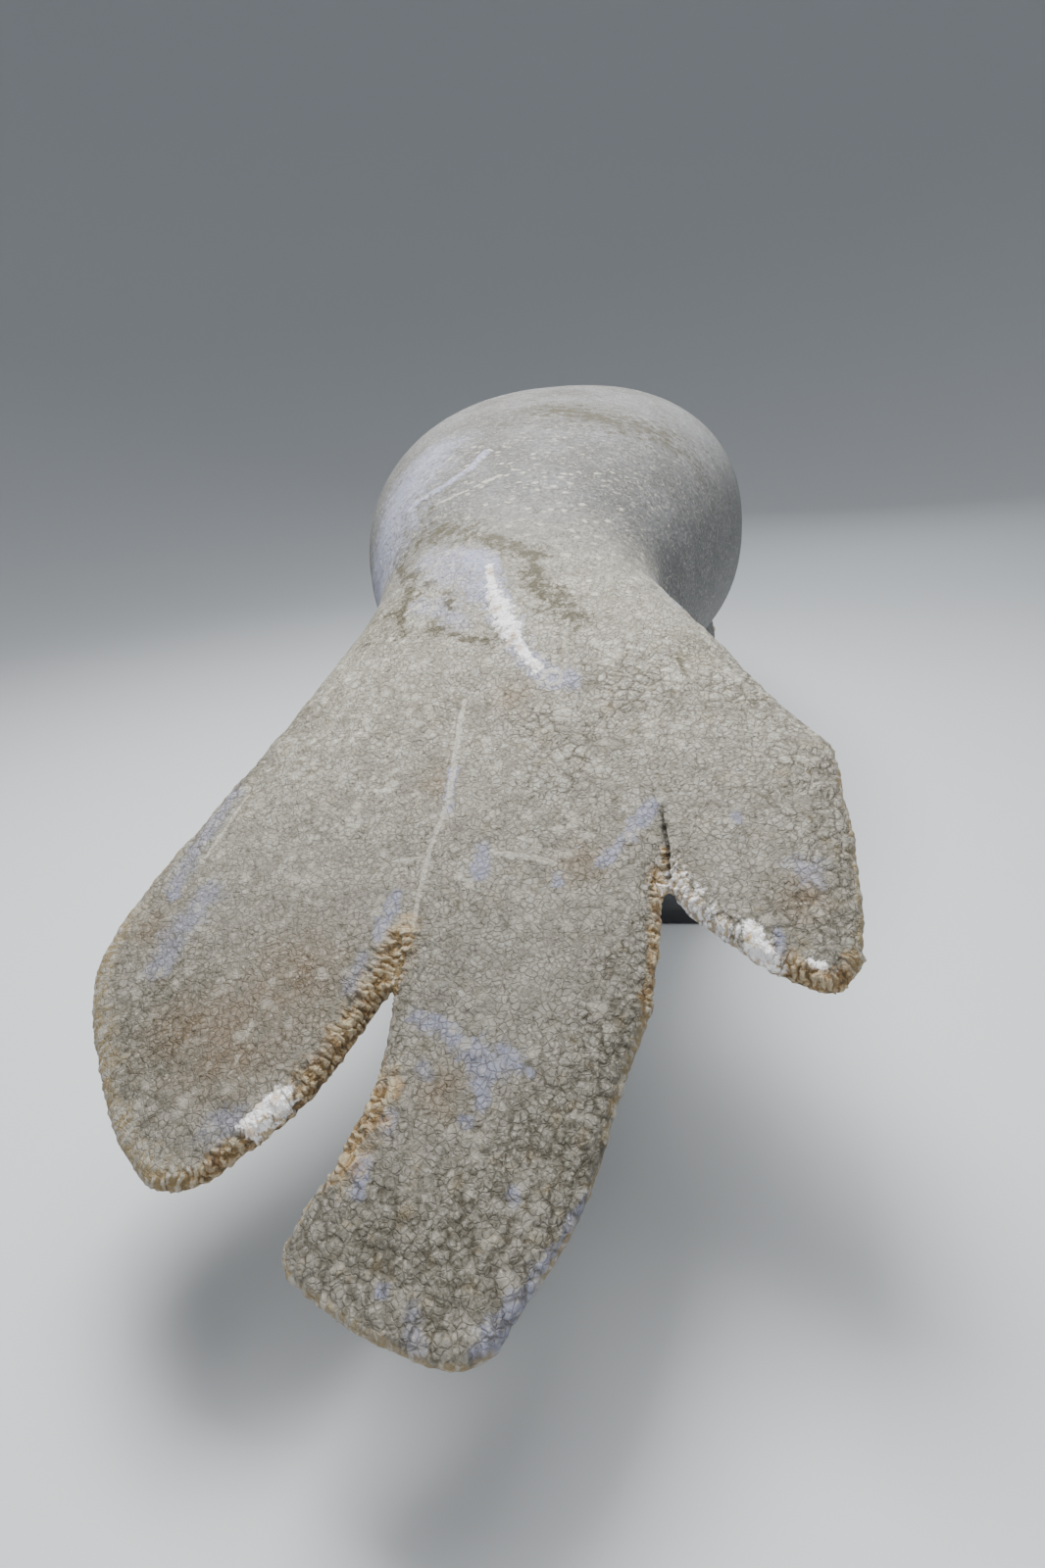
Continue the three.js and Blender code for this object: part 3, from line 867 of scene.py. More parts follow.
@dataclass(frozen=True)
class Face:
    """The head's own forms: lips, nose, chin, nostrils and lids, on the straight animal."""

    lips: Ellipsoid = Ellipsoid((0.048, 0.068, -0.032), (0.064, 0.068, 0.076), radians(12))
    nose: Ellipsoid = Ellipsoid((0.0, 0.062, 0.032), (0.076, 0.062, 0.052), radians(-14))
    chin: Ellipsoid = Ellipsoid((0.0, 0.100, -0.104), (0.066, 0.066, 0.042), radians(-8))
    mouth_end: float = 0.175
    mouth_depth: float = 0.007
    mouth_width: float = 0.0045
    split_depth: float = 0.003
    split_width: float = 0.006
    nostril: tuple[float, float, float] = (0.5, -0.62, 0.6)
    nostril_radius: float = 0.013
    nostril_width: float = 0.0042
    nostril_depth: float = 0.008
    nostril_swell: float = 0.002
    eye_along: float = 0.198
    eye_turn: float = radians(24)
    eye_radius: float = 0.011
    eye_sunk: float = 0.005
    eye_ground: float = 0.16
    eye_length: float = 1.25
    lid_radius: float = 0.0125
    lid_height: float = 0.0042
    lid_width: float = 0.0040
    lid_fold: float = 0.0010
    pit_depth: float = 0.0095

    def eye(self, sign: int) -> tuple[Vector, Vector]:
        """Find an eye's place on the skin and the way it looks.

        Args:
            sign: 1 for the left eye, -1 for the right.

        Returns:
            The place on the skin and its outward direction, in the model's frame.
        """
        table = np.array(TRUNK.sections)
        station = np.array([self.eye_along])
        half = float(TRUNK.section(station)[2][0])
        top = float(hermite(table[:, 0], table[:, 1:], station)[0, 2])
        spot = np.array([[sign * half * cos(self.eye_turn), self.eye_along, top * sin(self.eye_turn)]])
        _, _, side, up = SPINE.at(spot[:, 1])
        facing = sign * cos(self.eye_turn) / half * side[0] + sin(self.eye_turn) / top * up[0]
        return Vector(SPINE.world(spot)[0]), Vector(facing).normalized()

    def nostril_place(self, sign: int) -> tuple[Vector, Vector]:
        """Find a nostril's place on the nose and the way it faces, in the model's frame.

        Args:
            sign: 1 for the right nostril, -1 for the left.

        Returns:
            The place, and the way it faces.
        """
        towards = Vector(self.nostril).normalized()
        rx, ry, rz = self.nose.radii
        turn = Matrix.Rotation(self.nose.tilt, 3, "X")
        at = turn @ Vector((sign * rx * towards.x, ry * towards.y, rz * towards.z))
        facing = turn @ Vector((sign * towards.x / rx, towards.y / ry, towards.z / rz))
        across, along, above = self.nose.centre
        middle, ahead, side, up = (Vector(v[0]) for v in SPINE.at(np.array([along])))
        frame_turn = Matrix((side, ahead, up)).transposed()
        spot = middle + frame_turn @ (at + Vector((across, 0.0, above)))
        return spot, (frame_turn @ facing).normalized()


FACE = Face()


@dataclass
class Skin:
    """The whole hide in one piece: trunk, head, flippers and the wounded paddle."""

    voxel: float = 0.006
    swell: float = 0.0004
    fairings: int = 4
    snout_end: float = 0.11
    lids_reach: float = 0.042
    torn_reach: float = 0.017
    stone_height: float = 0.0013
    rib_height: float = 0.0052
    lump_height: float = 0.007
    wrinkle_depth: float = 0.0024
    trunk_triangles: int = 36000
    underside_triangles: int = 9000
    triangles: int = 188000
    piece: bpy.types.Object | None = field(default=None)

    def build(self) -> bpy.types.Object:
        """Make the skin from the solids' own shape and carve its forms.

        Returns:
            The finished piece.
        """
        self.gather()
        self.fuse()
        self.fair()
        self.refine()
        self.measure()
        self.carve_head()
        self.relief()
        self.thin()
        take(self.piece)
        bpy.ops.object.shade_smooth()
        return self.piece

    def survey(self) -> tuple[Array, Array, Array]:
        """Read where the vertices lie.

        Returns:
            Their places on the straight animal, the same across and past the paddle's start, and
            how far each faces up there.
        """
        body = SPINE.straight(points_of(self.piece))
        _, _, _, up = SPINE.at(body[:, 1])
        upward = np.sum(normals_of(self.piece) * up, axis=1)
        return body, np.stack([body[:, 0], body[:, 1] - SPINE.paddle_start], 1), upward

    def gather(self) -> None:
        """Join copies of the flesh, with the eyes' and nails' pockets filled."""
        plugs = [f"eye_{side}" for side in SIDES]
        plugs += [f"nail_{side}_{i + 1}" for side in SIDES for i in range(NAILS_A_SIDE)]
        copies = [copy_of(name, f"skin_{name}") for name in (*FLESH, *plugs)]
        for copy in copies:
            place(copy, points_of(copy) + self.swell * normals_of(copy))
        deselect()
        for copy in copies:
            copy.select_set(True)
        bpy.context.view_layer.objects.active = copies[0]
        bpy.ops.object.join()
        self.piece = settle(copies[0], "skin")
        self.piece.data.materials.clear()

    def fuse(self) -> None:
        """Melt the pieces into one closed surface and drop what is left inside."""
        modify(self.piece, "REMESH", mode="VOXEL", voxel_size=self.voxel, adaptivity=0.0)
        heights = points_of(self.piece)[:, 2]
        with editing(self.piece, "VERT", np.arange(len(heights)) == np.argmax(heights)):
            bpy.ops.mesh.select_linked()
            bpy.ops.mesh.select_all(action="INVERT")
            bpy.ops.mesh.delete(type="VERT")

    def fair(self) -> None:
        """Take the solids' facets off: on the trunk by its own curves, elsewhere by smoothing."""
        body = SPINE.straight(points_of(self.piece))
        group(self.piece, "head", 1 - smoothstep(body[:, 1], 0.12, 0.22))
        for _ in range(self.fairings):
            modify(self.piece, "SMOOTH", factor=0.5, iterations=3)
            modify(self.piece, "SMOOTH", factor=-0.52, iterations=3)
        modify(self.piece, "SMOOTH", factor=0.5, iterations=2)
        modify(self.piece, "SMOOTH", factor=0.5, iterations=10, vertex_group="head")
        body = SPINE.straight(points_of(self.piece))
        place(self.piece, SPINE.world(TRUNK.fair(body)))
        modify(self.piece, "SMOOTH", factor=0.5, iterations=2)

    def refine(self) -> None:
        """Split the faces where the eye looks closest: the paddle's top, the snout and the lids."""
        points = points_of(self.piece)
        body, _, upward = self.survey()
        fine = (body[:, 1] > SPINE.paddle_start + 0.02) & (upward > -0.35)
        fine |= body[:, 1] < self.snout_end
        for sign in SIDES.values():
            fine |= np.linalg.norm(points - np.array(FACE.eye(sign)[0]), axis=1) < self.lids_reach
        self.split(fine)
        modify(self.piece, "SMOOTH", factor=0.4, iterations=2)
        _, flat, upward = self.survey()
        torn = np.zeros(len(flat), dtype=bool)
        for edge in (edge for edge in EDGES if edge.rim is not Rim.NATURAL):
            torn |= path_reach(flat, edge.path)[0] < self.torn_reach
        for stroke in STROKES[Mark.WHITE]:
            torn |= path_reach(flat, stroke.path)[0] < 2 * stroke.width
        self.split(torn & (upward > -0.3))

    def split(self, members: Array) -> None:
        """Split the faces whose corners are all named.

        Args:
            members: Which vertices are named.
        """
        with editing(self.piece, "VERT", members):
            bpy.ops.mesh.select_mode(type="FACE")
            bpy.ops.mesh.subdivide(number_cuts=1, smoothness=0.0)

    def measure(self) -> None:
        """Keep each vertex's place on the straight animal, and the marks that it carries."""
        body, flat, upward = self.survey()
        on_top = smoothstep(upward, -0.45, 0.05)
        note(self.piece, "lie", body)
        raised = np.zeros(len(body))
        for mark, drawn in STROKES.items():
            shown = np.zeros(len(body))
            for stroke in drawn:
                gap, _ = path_reach(flat, stroke.path)
                shown = np.maximum(shown, np.clip(1 - gap / (2 * stroke.width), 0, 1))
                raised += on_top * stroke.raised * np.exp(-((gap / (1.1 * stroke.width)) ** 2))
            note(self.piece, mark.value, shown * on_top)
        gaps = np.full(len(body), np.inf)
        arcs = np.zeros(len(body))
        rims = {rim: np.zeros(len(body)) for rim in Rim}
        beyond = body[:, 1] > SPINE.paddle_start
        for number, edge in enumerate(EDGES):
            gap, arc = path_reach(flat, edge.path)
            closer = gap < gaps
            gaps[closer] = gap[closer]
            arcs[closer] = number + arc[closer]
            reach = np.clip(1 - gap / (2 * edge.breadth), 0, 1) * beyond
            rims[edge.rim] = np.maximum(rims[edge.rim], reach)
        for rim, values in rims.items():
            note(self.piece, rim.value, values)
        note(self.piece, "rim_lie", np.stack([arcs, np.minimum(gaps, 0.2), body[:, 2]], 1))
        tints = {}
        for tint, places in BLOTS.items():
            tints[tint] = np.zeros(len(body))
            for across, past, radius in np.array(places) / 1000:
                away = np.hypot(flat[:, 0] - across, flat[:, 1] - past)
                tints[tint] = 1 - (1 - tints[tint]) * (1 - np.exp(-((away / radius) ** 2)))
            note(self.piece, tint.value, tints[tint] * on_top)
        fan = smoothstep(flat[:, 1], 0.02, 0.24)
        strength = 0.42 + 0.75 * tints[Tint.COARSE] + 0.5 * np.exp(-gaps / 0.030) * beyond
        note(self.piece, "cobble", fan * strength * (1 - 0.72 * tints[Tint.SMOOTH]))
        note(self.piece, "paddle", smoothstep(flat[:, 1], -0.12, 0.10))
        note(self.piece, "crest", raised)

    def carve_head(self) -> None:
        """Cut the mouth's line and the nostrils, open the lids and fold the skin round them."""
        points, normals = points_of(self.piece), normals_of(self.piece)
        body = SPINE.straight(points)
        mouth, split = self.mouth(body)
        slits, swells = self.nostrils(points)
        depth = FACE.mouth_depth * mouth + FACE.split_depth * split - FACE.nostril_swell * swells
        depth += FACE.nostril_depth * slits + self.folds(body)
        moved = points - depth[:, None] * normals
        for sign in SIDES.values():
            moved = self.open_lids(moved, sign)
        place(self.piece, moved)
        # Painted shade: mark the mouth's line and the nostrils' slits to be darkened.
        note(self.piece, "painted_hollow_shade", np.clip(mouth + 0.6 * split + 1.1 * slits**2, 0, 1))

    @staticmethod
    def mouth(body: Array) -> tuple[Array, Array]:
        """Find the line between the lips and the chin, and the upper lip's split.

        Args:
            body: Places on the straight animal.

        Returns:
            How much of the line, and of the split, is at each place.
        """
        mirrored = body.copy()
        mirrored[:, 0] = np.abs(mirrored[:, 0])
        lips, chin = FACE.lips.gap(mirrored), FACE.chin.gap(body)
        across, above, half, tall = TRUNK.section(body[:, 1])
        ring = np.hypot((body[:, 0] - across) / half, (body[:, 2] - above) / tall)
        upper = np.minimum(lips, (ring - 1) * tall)
        line = np.exp(-(((upper - chin) / FACE.mouth_width) ** 2))
        line *= 1 - smoothstep(body[:, 1], 0.14, FACE.mouth_end)
        line *= (body[:, 2] < -0.03) * np.exp(-((np.minimum(upper, chin) / 0.02) ** 2))
        front = (body[:, 1] < 0.06) & (body[:, 2] < 0.0) & (body[:, 2] > -0.11)
        return line, np.exp(-((body[:, 0] / FACE.split_width) ** 2)) * front

    @staticmethod
    def nostrils(points: Array) -> tuple[Array, Array]:
        """Find the nostrils' arched slits and the soft swellings inside the arches.

        Args:
            points: Where the vertices are.

        Returns:
            How much of a slit, and of a swelling, is at each place.
        """
        slits, swells = np.zeros((2, len(points)))
        for sign in SIDES.values():
            spot, facing = (np.array(v) for v in FACE.nostril_place(sign))
            offset = points - spot
            rise = offset @ facing
            flat = offset - rise[:, None] * facing
            across = flat @ np.cross(facing, (0.0, 0.0, 1.0))
            radius = np.linalg.norm(flat, axis=1)
            arc = np.exp(-(((radius - FACE.nostril_radius) / FACE.nostril_width) ** 2))
            upper = smoothstep(flat[:, 2] + 0.35 * np.abs(across), -0.004, 0.003)
            near = (np.abs(rise) < 0.02) * (radius < 0.03)
            slits += near * arc * upper
            swells += near * np.exp(-((radius / 0.008) ** 2))
        return slits, swells

    @staticmethod
    def folds(body: Array) -> Array:
        """Work out the wrinkles of the snout, cheeks, neck and flipper roots.

        Args:
            body: Places on the straight animal.

        Returns:
            How far each place is pressed in.
        """
        across, along, above = body.T
        turn = np.arctan2(above, across)
        wander = 0.010 * np.sin(3 * turn + 0.7) + 0.006 * np.sin(7 * turn + 40 * along)
        wander += 0.004 * np.sin(13 * turn)
        snout = np.exp(-(((along - 0.135) / 0.03) ** 2)) * (above > -0.06)
        rings = np.clip(np.sin((along + wander) / 0.0046), -0.2, 1)
        neck = np.exp(-(((along - 0.47) / 0.16) ** 2))
        bands = np.sin((along + 1.6 * wander) / 0.0105 + 0.6 * np.sin(5 * turn))
        return 0.0016 * snout * rings + 0.0020 * neck * np.clip(bands, -0.1, 1) ** 2

    @staticmethod
    def open_lids(points: Array, sign: int) -> Array:
        """Shape the skin round one eye: a pit for the eyeball, a rim of lids and folds outside.

        Args:
            points: Where the vertices are.
            sign: 1 for the left eye, -1 for the right.

        Returns:
            Where they go.
        """
        spot, facing = (np.array(v) for v in FACE.eye(sign))
        offset = points - spot
        rise = offset @ facing
        flat = offset - rise[:, None] * facing
        lengthwise = flat[:, 1] / FACE.eye_length
        radius = np.sqrt(np.sum(flat**2, axis=1) - flat[:, 1] ** 2 + lengthwise**2)
        near = (radius < 0.036) & (np.abs(rise) < 0.03)
        wanted = -(radius**2) / (2 * FACE.eye_ground)
        wanted += FACE.lid_height * np.exp(-(((radius - FACE.lid_radius) / FACE.lid_width) ** 2))
        waves = np.cos((radius - FACE.lid_radius) / 0.0012) * smoothstep(radius, 0.016, 0.019)
        wanted += FACE.lid_fold * waves
        wanted -= FACE.pit_depth * (1 - smoothstep(radius, 0.0070, 0.0095))
        share = 1 - smoothstep(radius, 0.020, 0.034)
        shift = np.where(near, share * (wanted - rise), 0.0)
        return points + shift[:, None] * facing

    def relief(self) -> None:
        """Raise the cobbles, scars and ribbed rims, and press in the wrinkles, as real shape."""
        tree = bpy.data.node_groups.new("hide_relief", "GeometryNodeTree")
        for way in ("INPUT", "OUTPUT"):
            tree.interface.new_socket("Geometry", in_out=way, socket_type="NodeSocketGeometry")
        graph = Graph(tree, geometry=True)
        lie = graph.attribute("lie", vector=True)
        stones = graph.less(HidePattern.cobbles(graph, lie), 0.7)
        stones = graph.times(graph.attribute("cobble"), stones, self.stone_height)
        torn = graph.total(
            graph.attribute(Rim.RAW),
            graph.times(graph.attribute(Rim.WHITE), 0.6),
            graph.times(graph.attribute(Rim.NATURAL), 0.35),
        )
        ribbing = graph.less(HidePattern.ribs(graph), 0.5)
        ribbing = graph.times(ribbing, graph.rise(torn, 0.05, 0.7), self.rib_height)
        lumps = graph.times(graph.waver(lie, 26.0), self.lump_height, graph.attribute("paddle"))
        knots = graph.times(graph.waver(lie, 120.0, 3.0, 0.6), 1.5)
        crest = graph.times(graph.attribute("crest"), graph.total(0.8, knots))
        creased = graph.less(HidePattern.wrinkles(graph, lie), 0.5)
        creased = graph.times(creased, graph.total(graph.off("paddle"), 0.10), self.wrinkle_depth)
        height = graph.total(stones, ribbing, lumps, crest, creased)
        offset = graph.vector("SCALE", graph.node("GeometryNodeInputNormal").outputs[0], height)
        start = graph.node("NodeGroupInput").outputs[0]
        moved = graph.node("GeometryNodeSetPosition", {"Geometry": start, "Offset": offset})
        graph.node("NodeGroupOutput", {0: moved.outputs[0]})
        modify(self.piece, "NODES", node_group=tree)

    def thin(self) -> None:
        """Let the plain stretches keep fewer faces, and the whole skin a fair number."""
        body, _, _ = self.survey()
        trunk = (body[:, 1] > 0.27) & (body[:, 1] < SPINE.paddle_start - 0.03)
        self.thin_part("trunk", trunk, self.trunk_triangles)
        body, _, upward = self.survey()
        underside = (body[:, 1] > SPINE.paddle_start + 0.03) & (upward < -0.6)
        self.thin_part("underside", underside, self.underside_triangles)
        total = self.count()
        if total > self.triangles:
            modify(self.piece, "DECIMATE", ratio=self.triangles / total)
        log.info("skin has %d triangles", self.count())

    def count(self) -> int:
        """Count the skin's triangles."""
        return sum(len(face.vertices) - 2 for face in self.piece.data.polygons)

    def thin_part(self, name: str, members: Array, wanted: int) -> None:
        """Thin the faces of one stretch to about a number of triangles.

        Args:
            name: The name of the stretch's vertex group.
            members: Which vertices are in it.
            wanted: How many triangles it keeps.
        """
        mesh = self.piece.data
        sizes = np.empty(len(mesh.polygons), dtype=np.int32)
        mesh.polygons.foreach_get("loop_total", sizes)
        owners = np.empty(len(mesh.loops), dtype=np.int32)
        mesh.loops.foreach_get("vertex_index", owners)
        starts = np.concatenate([[0], np.cumsum(sizes)[:-1]])
        inside = np.add.reduceat(members[owners].astype(int), starts) == sizes
        here = int(np.sum((sizes - 2)[inside]))
        if here > wanted:
            group(self.piece, name, members.astype(float))
            total = self.count()
            ratio = (total - here + wanted) / total
            modify(self.piece, "DECIMATE", ratio=ratio, vertex_group=name, vertex_group_factor=1.0)


class HidePattern:
    """The hide's patterns, the same in its shape and in its colours.

    The sizes are in cells or clouds to a metre. The stretches make a pattern wider along the parts
    of its vector that are less than 1.
    """

    COBBLES = 76.0
    CRACKS = 165.0
    TUFTS = 205.0
    FIBRES = 380.0
    WRINKLES = 44.0
    CREASES = 88.0
    PIMPLES = 78.0
    SPOTS = 60.0
    RIB_STRETCH = (1.0, 0.34, 0.5)
    WRINKLE_STRETCH = (0.36, 1.0, 0.36)
    CREASE_STRETCH = (0.26, 1.0, 0.26)
    PIMPLE_STRETCH = (0.72, 1.0, 0.72)

    @staticmethod
    def edges(graph: Graph, lie: Sockets) -> Sockets:
        """Read how far a place is from the furrows between the cobbles, in cobbles."""
        loose = graph.warped(graph.warped(lie, 20.0, 0.012), 90.0, 0.0042)
        return graph.cells(loose, HidePattern.COBBLES)

    @staticmethod
    def cobbles(graph: Graph, lie: Sockets) -> Sockets:
        """Read the paddle's cobbles: 1 on a cobble's top, 0 in the furrow round it."""
        return graph.math("POWER", graph.rise(HidePattern.edges(graph, lie), -0.06, 0.46), 0.75)

    @staticmethod
    def network(graph: Graph, lie: Sockets) -> Sockets:
        """Read the fine cracks over the cobbles: 1 in a crack, 0 off it."""
        loose = graph.warped(lie, 120.0, 0.0065)
        return graph.rise(graph.cells(loose, HidePattern.CRACKS), 0.16, 0.0)

    @staticmethod
    def ribs(graph: Graph) -> Sockets:
        """Read the ribs and tufts that stand across a healed edge.

        Args:
            graph: Where the nodes go.

        Returns:
            How far the surface stands up, from 0 to about 1.
        """
        loose = graph.warped(graph.attribute("rim_lie", vector=True), 60.0, 0.014)
        loose = graph.warped(loose, 200.0, 0.004)
        drawn = graph.vector("MULTIPLY", loose, HidePattern.RIB_STRETCH)
        tufts = graph.rise(graph.cells(drawn, HidePattern.TUFTS, edges=False), 0.75, 0.15)
        fibres = graph.noise(drawn, HidePattern.FIBRES, 3.0, 0.65)
        return graph.total(graph.times(tufts, 0.42), graph.times(fibres, 0.68))

    @staticmethod
    def wrinkles(graph: Graph, lie: Sockets) -> Sockets:
        """Read the trunk's fine folds, which run round the body.

        Args:
            graph: Where the nodes go.
            lie: Each place on the straight animal.

        Returns:
            The folds' height about 0.5.
        """
        loose = graph.warped(lie, 14.0, 0.03)
        drawn = graph.vector("MULTIPLY", loose, HidePattern.WRINKLE_STRETCH)
        return graph.noise(drawn, HidePattern.WRINKLES, 4.0, 0.6)

    @staticmethod
    def creases(graph: Graph, lie: Sockets) -> Sockets:
        """Read thin dark lines that run round the body: 1 in a line, 0 off it and on the snout.

        Args:
            graph: Where the nodes go.
            lie: Each place on the straight animal.

        Returns:
            The lines' mask.
        """
        loose = graph.warped(lie, 26.0, 0.018)
        drawn = graph.vector("MULTIPLY", loose, HidePattern.CREASE_STRETCH)
        apart = graph.math("ABSOLUTE", graph.waver(drawn, HidePattern.CREASES, 2.0, 0.5))
        return graph.times(graph.rise(apart, 0.030, 0.0), graph.rise(graph.part(lie, 1), 0.04, 0.12))

    @staticmethod
    def pimples(graph: Graph, lie: Sockets) -> Sockets:
        """Read pale bumps, wider across than along: 1 on a bump, 0 off it.

        Args:
            graph: Where the nodes go.
            lie: Each place on the straight animal.

        Returns:
            The bumps' mask.
        """
        loose = graph.warped(lie, 40.0, 0.010)
        drawn = graph.vector("MULTIPLY", loose, HidePattern.PIMPLE_STRETCH)
        bumps = graph.cells(drawn, HidePattern.PIMPLES, edges=False, random=0.9)
        return graph.rise(bumps, 0.36, 0.08)

    @staticmethod
    def spots(graph: Graph, lie: Sockets) -> Sockets:
        """Read the paddle's soft round spots: 1 in a spot's middle, 0 off it."""
        loose = graph.warped(lie, 34.0, 0.008)
        return graph.rise(graph.cells(loose, HidePattern.SPOTS, edges=False), 0.46, 0.16)


@dataclass(frozen=True)
class HideFinish:
    """The colours of the living hide and of what has healed or grown on it, with painted shade on the
    lobes, the lower sides, the hollows and partly the furrows.
    """

    stone: Colour = (181, 177, 165)
    shade: Colour = (144, 140, 128)
    # Dark grime and specks, and also painted crevice shade in furrows, cracks, creases and between rim
    # ribs.
    grime_and_crevice_shade: Colour = (66, 58, 40)
    trunk: Colour = (130, 131, 133)
    trunk_shade: Colour = (106, 106, 105)
    # Painted shade for the trunk's lower sides.
    painted_flank_shade: Colour = (97, 99, 100)
    speck: Colour = (212, 207, 192)
    white: Colour = (250, 249, 250)
    pearl: Colour = (190, 172, 142)
    blue: Colour = (166, 170, 196)
    cream: Colour = (226, 206, 168)
    gold: Colour = (176, 140, 84)
    rust: Colour = (146, 92, 44)
    algae: Colour = (76, 70, 46)
    earth: Colour = (140, 117, 88)
    ochre: Colour = (174, 152, 106)
    # Painted shade for the mouth's line, the nostrils' slits and the paddle's cleft.
    painted_hollow_shade: Colour = (38, 34, 30)
    # Painted shade: a factor that darkens the paddle's lobes towards their ends, from lobe_start to
    # lobe_middle.
    lobe_painted_shade: float = 0.59
    lobe_start: float = 2.35
    lobe_middle: float = 2.82
    specular: float = 0.35
    bump_strength: float = 0.8
    bump_height: float = 0.0022

    def body(self, graph: Graph, lie: Sockets, mottle: Sockets) -> Sockets:
        """Colour the plain hide of the trunk and paddle, with painted shade on the trunk's lower sides.

        Args:
            graph: Where the nodes go.
            lie: Each place on the straight animal.
            mottle: Noise that makes the colours patchy.

        Returns:
            The hide's colour.
        """
        clouds = graph.noise(lie, 9.0, 4.0, 0.6)
        fine = graph.noise(lie, 210.0, 4.0, 0.75)
        streaks = graph.noise(graph.vector("MULTIPLY", lie, (0.45, 1.0, 0.45)), 120.0, 3.0, 0.6)
        trunk = graph.blend(graph.rise(clouds, 0.34, 0.64), self.trunk_shade, self.trunk)
        trunk = graph.blend(graph.rise(streaks, 0.56, 0.34, 0.0, 0.30), trunk, self.grime_and_crevice_shade)
        # Painted shade: the trunk grows darker towards its lower sides.
        trunk = graph.blend(graph.rise(graph.part(lie, 2), 0.25, -0.02, 0.0, 0.68), trunk, self.painted_flank_shade)
        stones = graph.blend(graph.rise(mottle, 0.36, 0.62), self.shade, self.stone)
        base = graph.blend(graph.attribute("paddle"), trunk, stones)
        earth = graph.times(graph.attribute(Tint.EARTH), graph.rise(mottle, 0.26, 0.60), 0.80)
        base = graph.blend(earth, base, self.earth)
        olive = graph.times(graph.attribute(Tint.OLIVE), graph.rise(fine, 0.64, 0.40), 0.58)
        base = graph.blend(olive, base, self.algae)
        stained = graph.rise(graph.noise(lie, 55.0, 3.0), 0.54, 0.70)
        base = graph.blend(graph.times(stained, graph.attribute("cobble"), 0.30), base, self.ochre)
        fray = graph.waver(lie, 75.0, 5.0, 0.7)
        haze = graph.frayed(Mark.HAZE, fray, 2.2, 0.20, 0.90)
        base = graph.blend(graph.times(haze, 0.58), base, self.blue)
        blue = graph.frayed(Mark.BLUE, fray, 1.9, 0.34, 0.74)
        base = graph.blend(graph.times(blue, 0.78), base, self.blue)
        dark = graph.times(graph.rise(fine, 0.49, 0.33), graph.less(0.64, graph.times(blue, 0.40)))
        base = graph.blend(dark, base, self.grime_and_crevice_shade)
        return graph.blend(graph.rise(fine, 0.53, 0.70, 0.0, 0.46), base, self.speck)

    def texture(self, graph: Graph, lie: Sockets, mottle: Sockets, base: Sockets) -> Sockets:
        """Draw furrows, cracks, creases, pimples and specks over the plain hide.

        Args:
            graph: Where the nodes go.
            lie: Each place on the straight animal.
            mottle: Noise that makes the colours patchy.
            base: The hide's colour so far.

        Returns:
            The colour with its texture.
        """
        paddle = graph.attribute("paddle")
        patchy = graph.rise(mottle, 0.36, 0.56)
        broken = graph.rise(graph.noise(lie, 36.0, 3.0, 0.6), 0.36, 0.60, 0.20, 1.0)
        # The cobbles' furrows, the cracks and the creases are darkened: partly grime, partly painted
        # crevice shade.
        line = graph.rise(HidePattern.edges(graph, lie), 0.17, 0.01)
        grime_and_crevice_shade = graph.times(line, broken, graph.attribute("cobble"), 0.78)
        base = graph.blend(graph.math("MINIMUM", grime_and_crevice_shade, 0.56), base, self.grime_and_crevice_shade)
        crack = graph.times(HidePattern.network(graph, lie), paddle, patchy, 0.46)
        base = graph.blend(crack, base, self.grime_and_crevice_shade)
        faded = graph.rise(mottle, 0.42, 0.60)
        crease = graph.times(HidePattern.creases(graph, lie), graph.off("paddle"), faded, 0.34)
        base = graph.blend(crease, base, self.grime_and_crevice_shade)
        dotted = graph.total(graph.attribute(Tint.PIMPLED), 0.25)
        pimple = graph.times(HidePattern.pimples(graph, lie), dotted, patchy, 0.70)
        base = graph.blend(pimple, base, self.speck)
        here = graph.rise(graph.noise(lie, 26.0, 2.0), 0.44, 0.62)
        spot = graph.times(HidePattern.spots(graph, lie), paddle, here, 0.54)
        base = graph.blend(spot, base, self.speck)
        dots = graph.rise(graph.cells(lie, 190.0, edges=False), 0.38, 0.12)
        dots = graph.times(dots, graph.rise(graph.noise(lie, 60.0, 2.0), 0.46, 0.64), 0.60)
        return graph.blend(dots, base, self.speck)

    def marks(self, graph: Graph, lie: Sockets, base: Sockets) -> tuple[Sockets, Sockets]:
        """Lay the algae, scars and healed rims over the hide.

        Args:
            graph: Where the nodes go.
            lie: Each place on the straight animal.
            base: The hide's colour so far.

        Returns:
            The colour with the marks, and how much of the surface is scar.
        """
        ribs = HidePattern.ribs(graph)
        fray = graph.waver(lie, 75.0, 5.0, 0.7)
        fluff = graph.waver(lie, 150.0, 4.0, 0.7)
        clumps = graph.waver(graph.vector("MULTIPLY", lie, (0.72, 1.0, 0.72)), 95.0, 5.0, 0.75)
        patches = graph.noise(lie, 60.0, 2.0)
        algae = graph.frayed(Mark.ALGAE, clumps, 3.4, 0.45, 1.05)
        base = graph.blend(graph.times(algae, 0.85), base, self.algae)
        line = graph.frayed(Mark.PALE, fray, 1.6, 0.38, 0.66)
        base = graph.blend(graph.times(line, 0.62), base, self.speck)
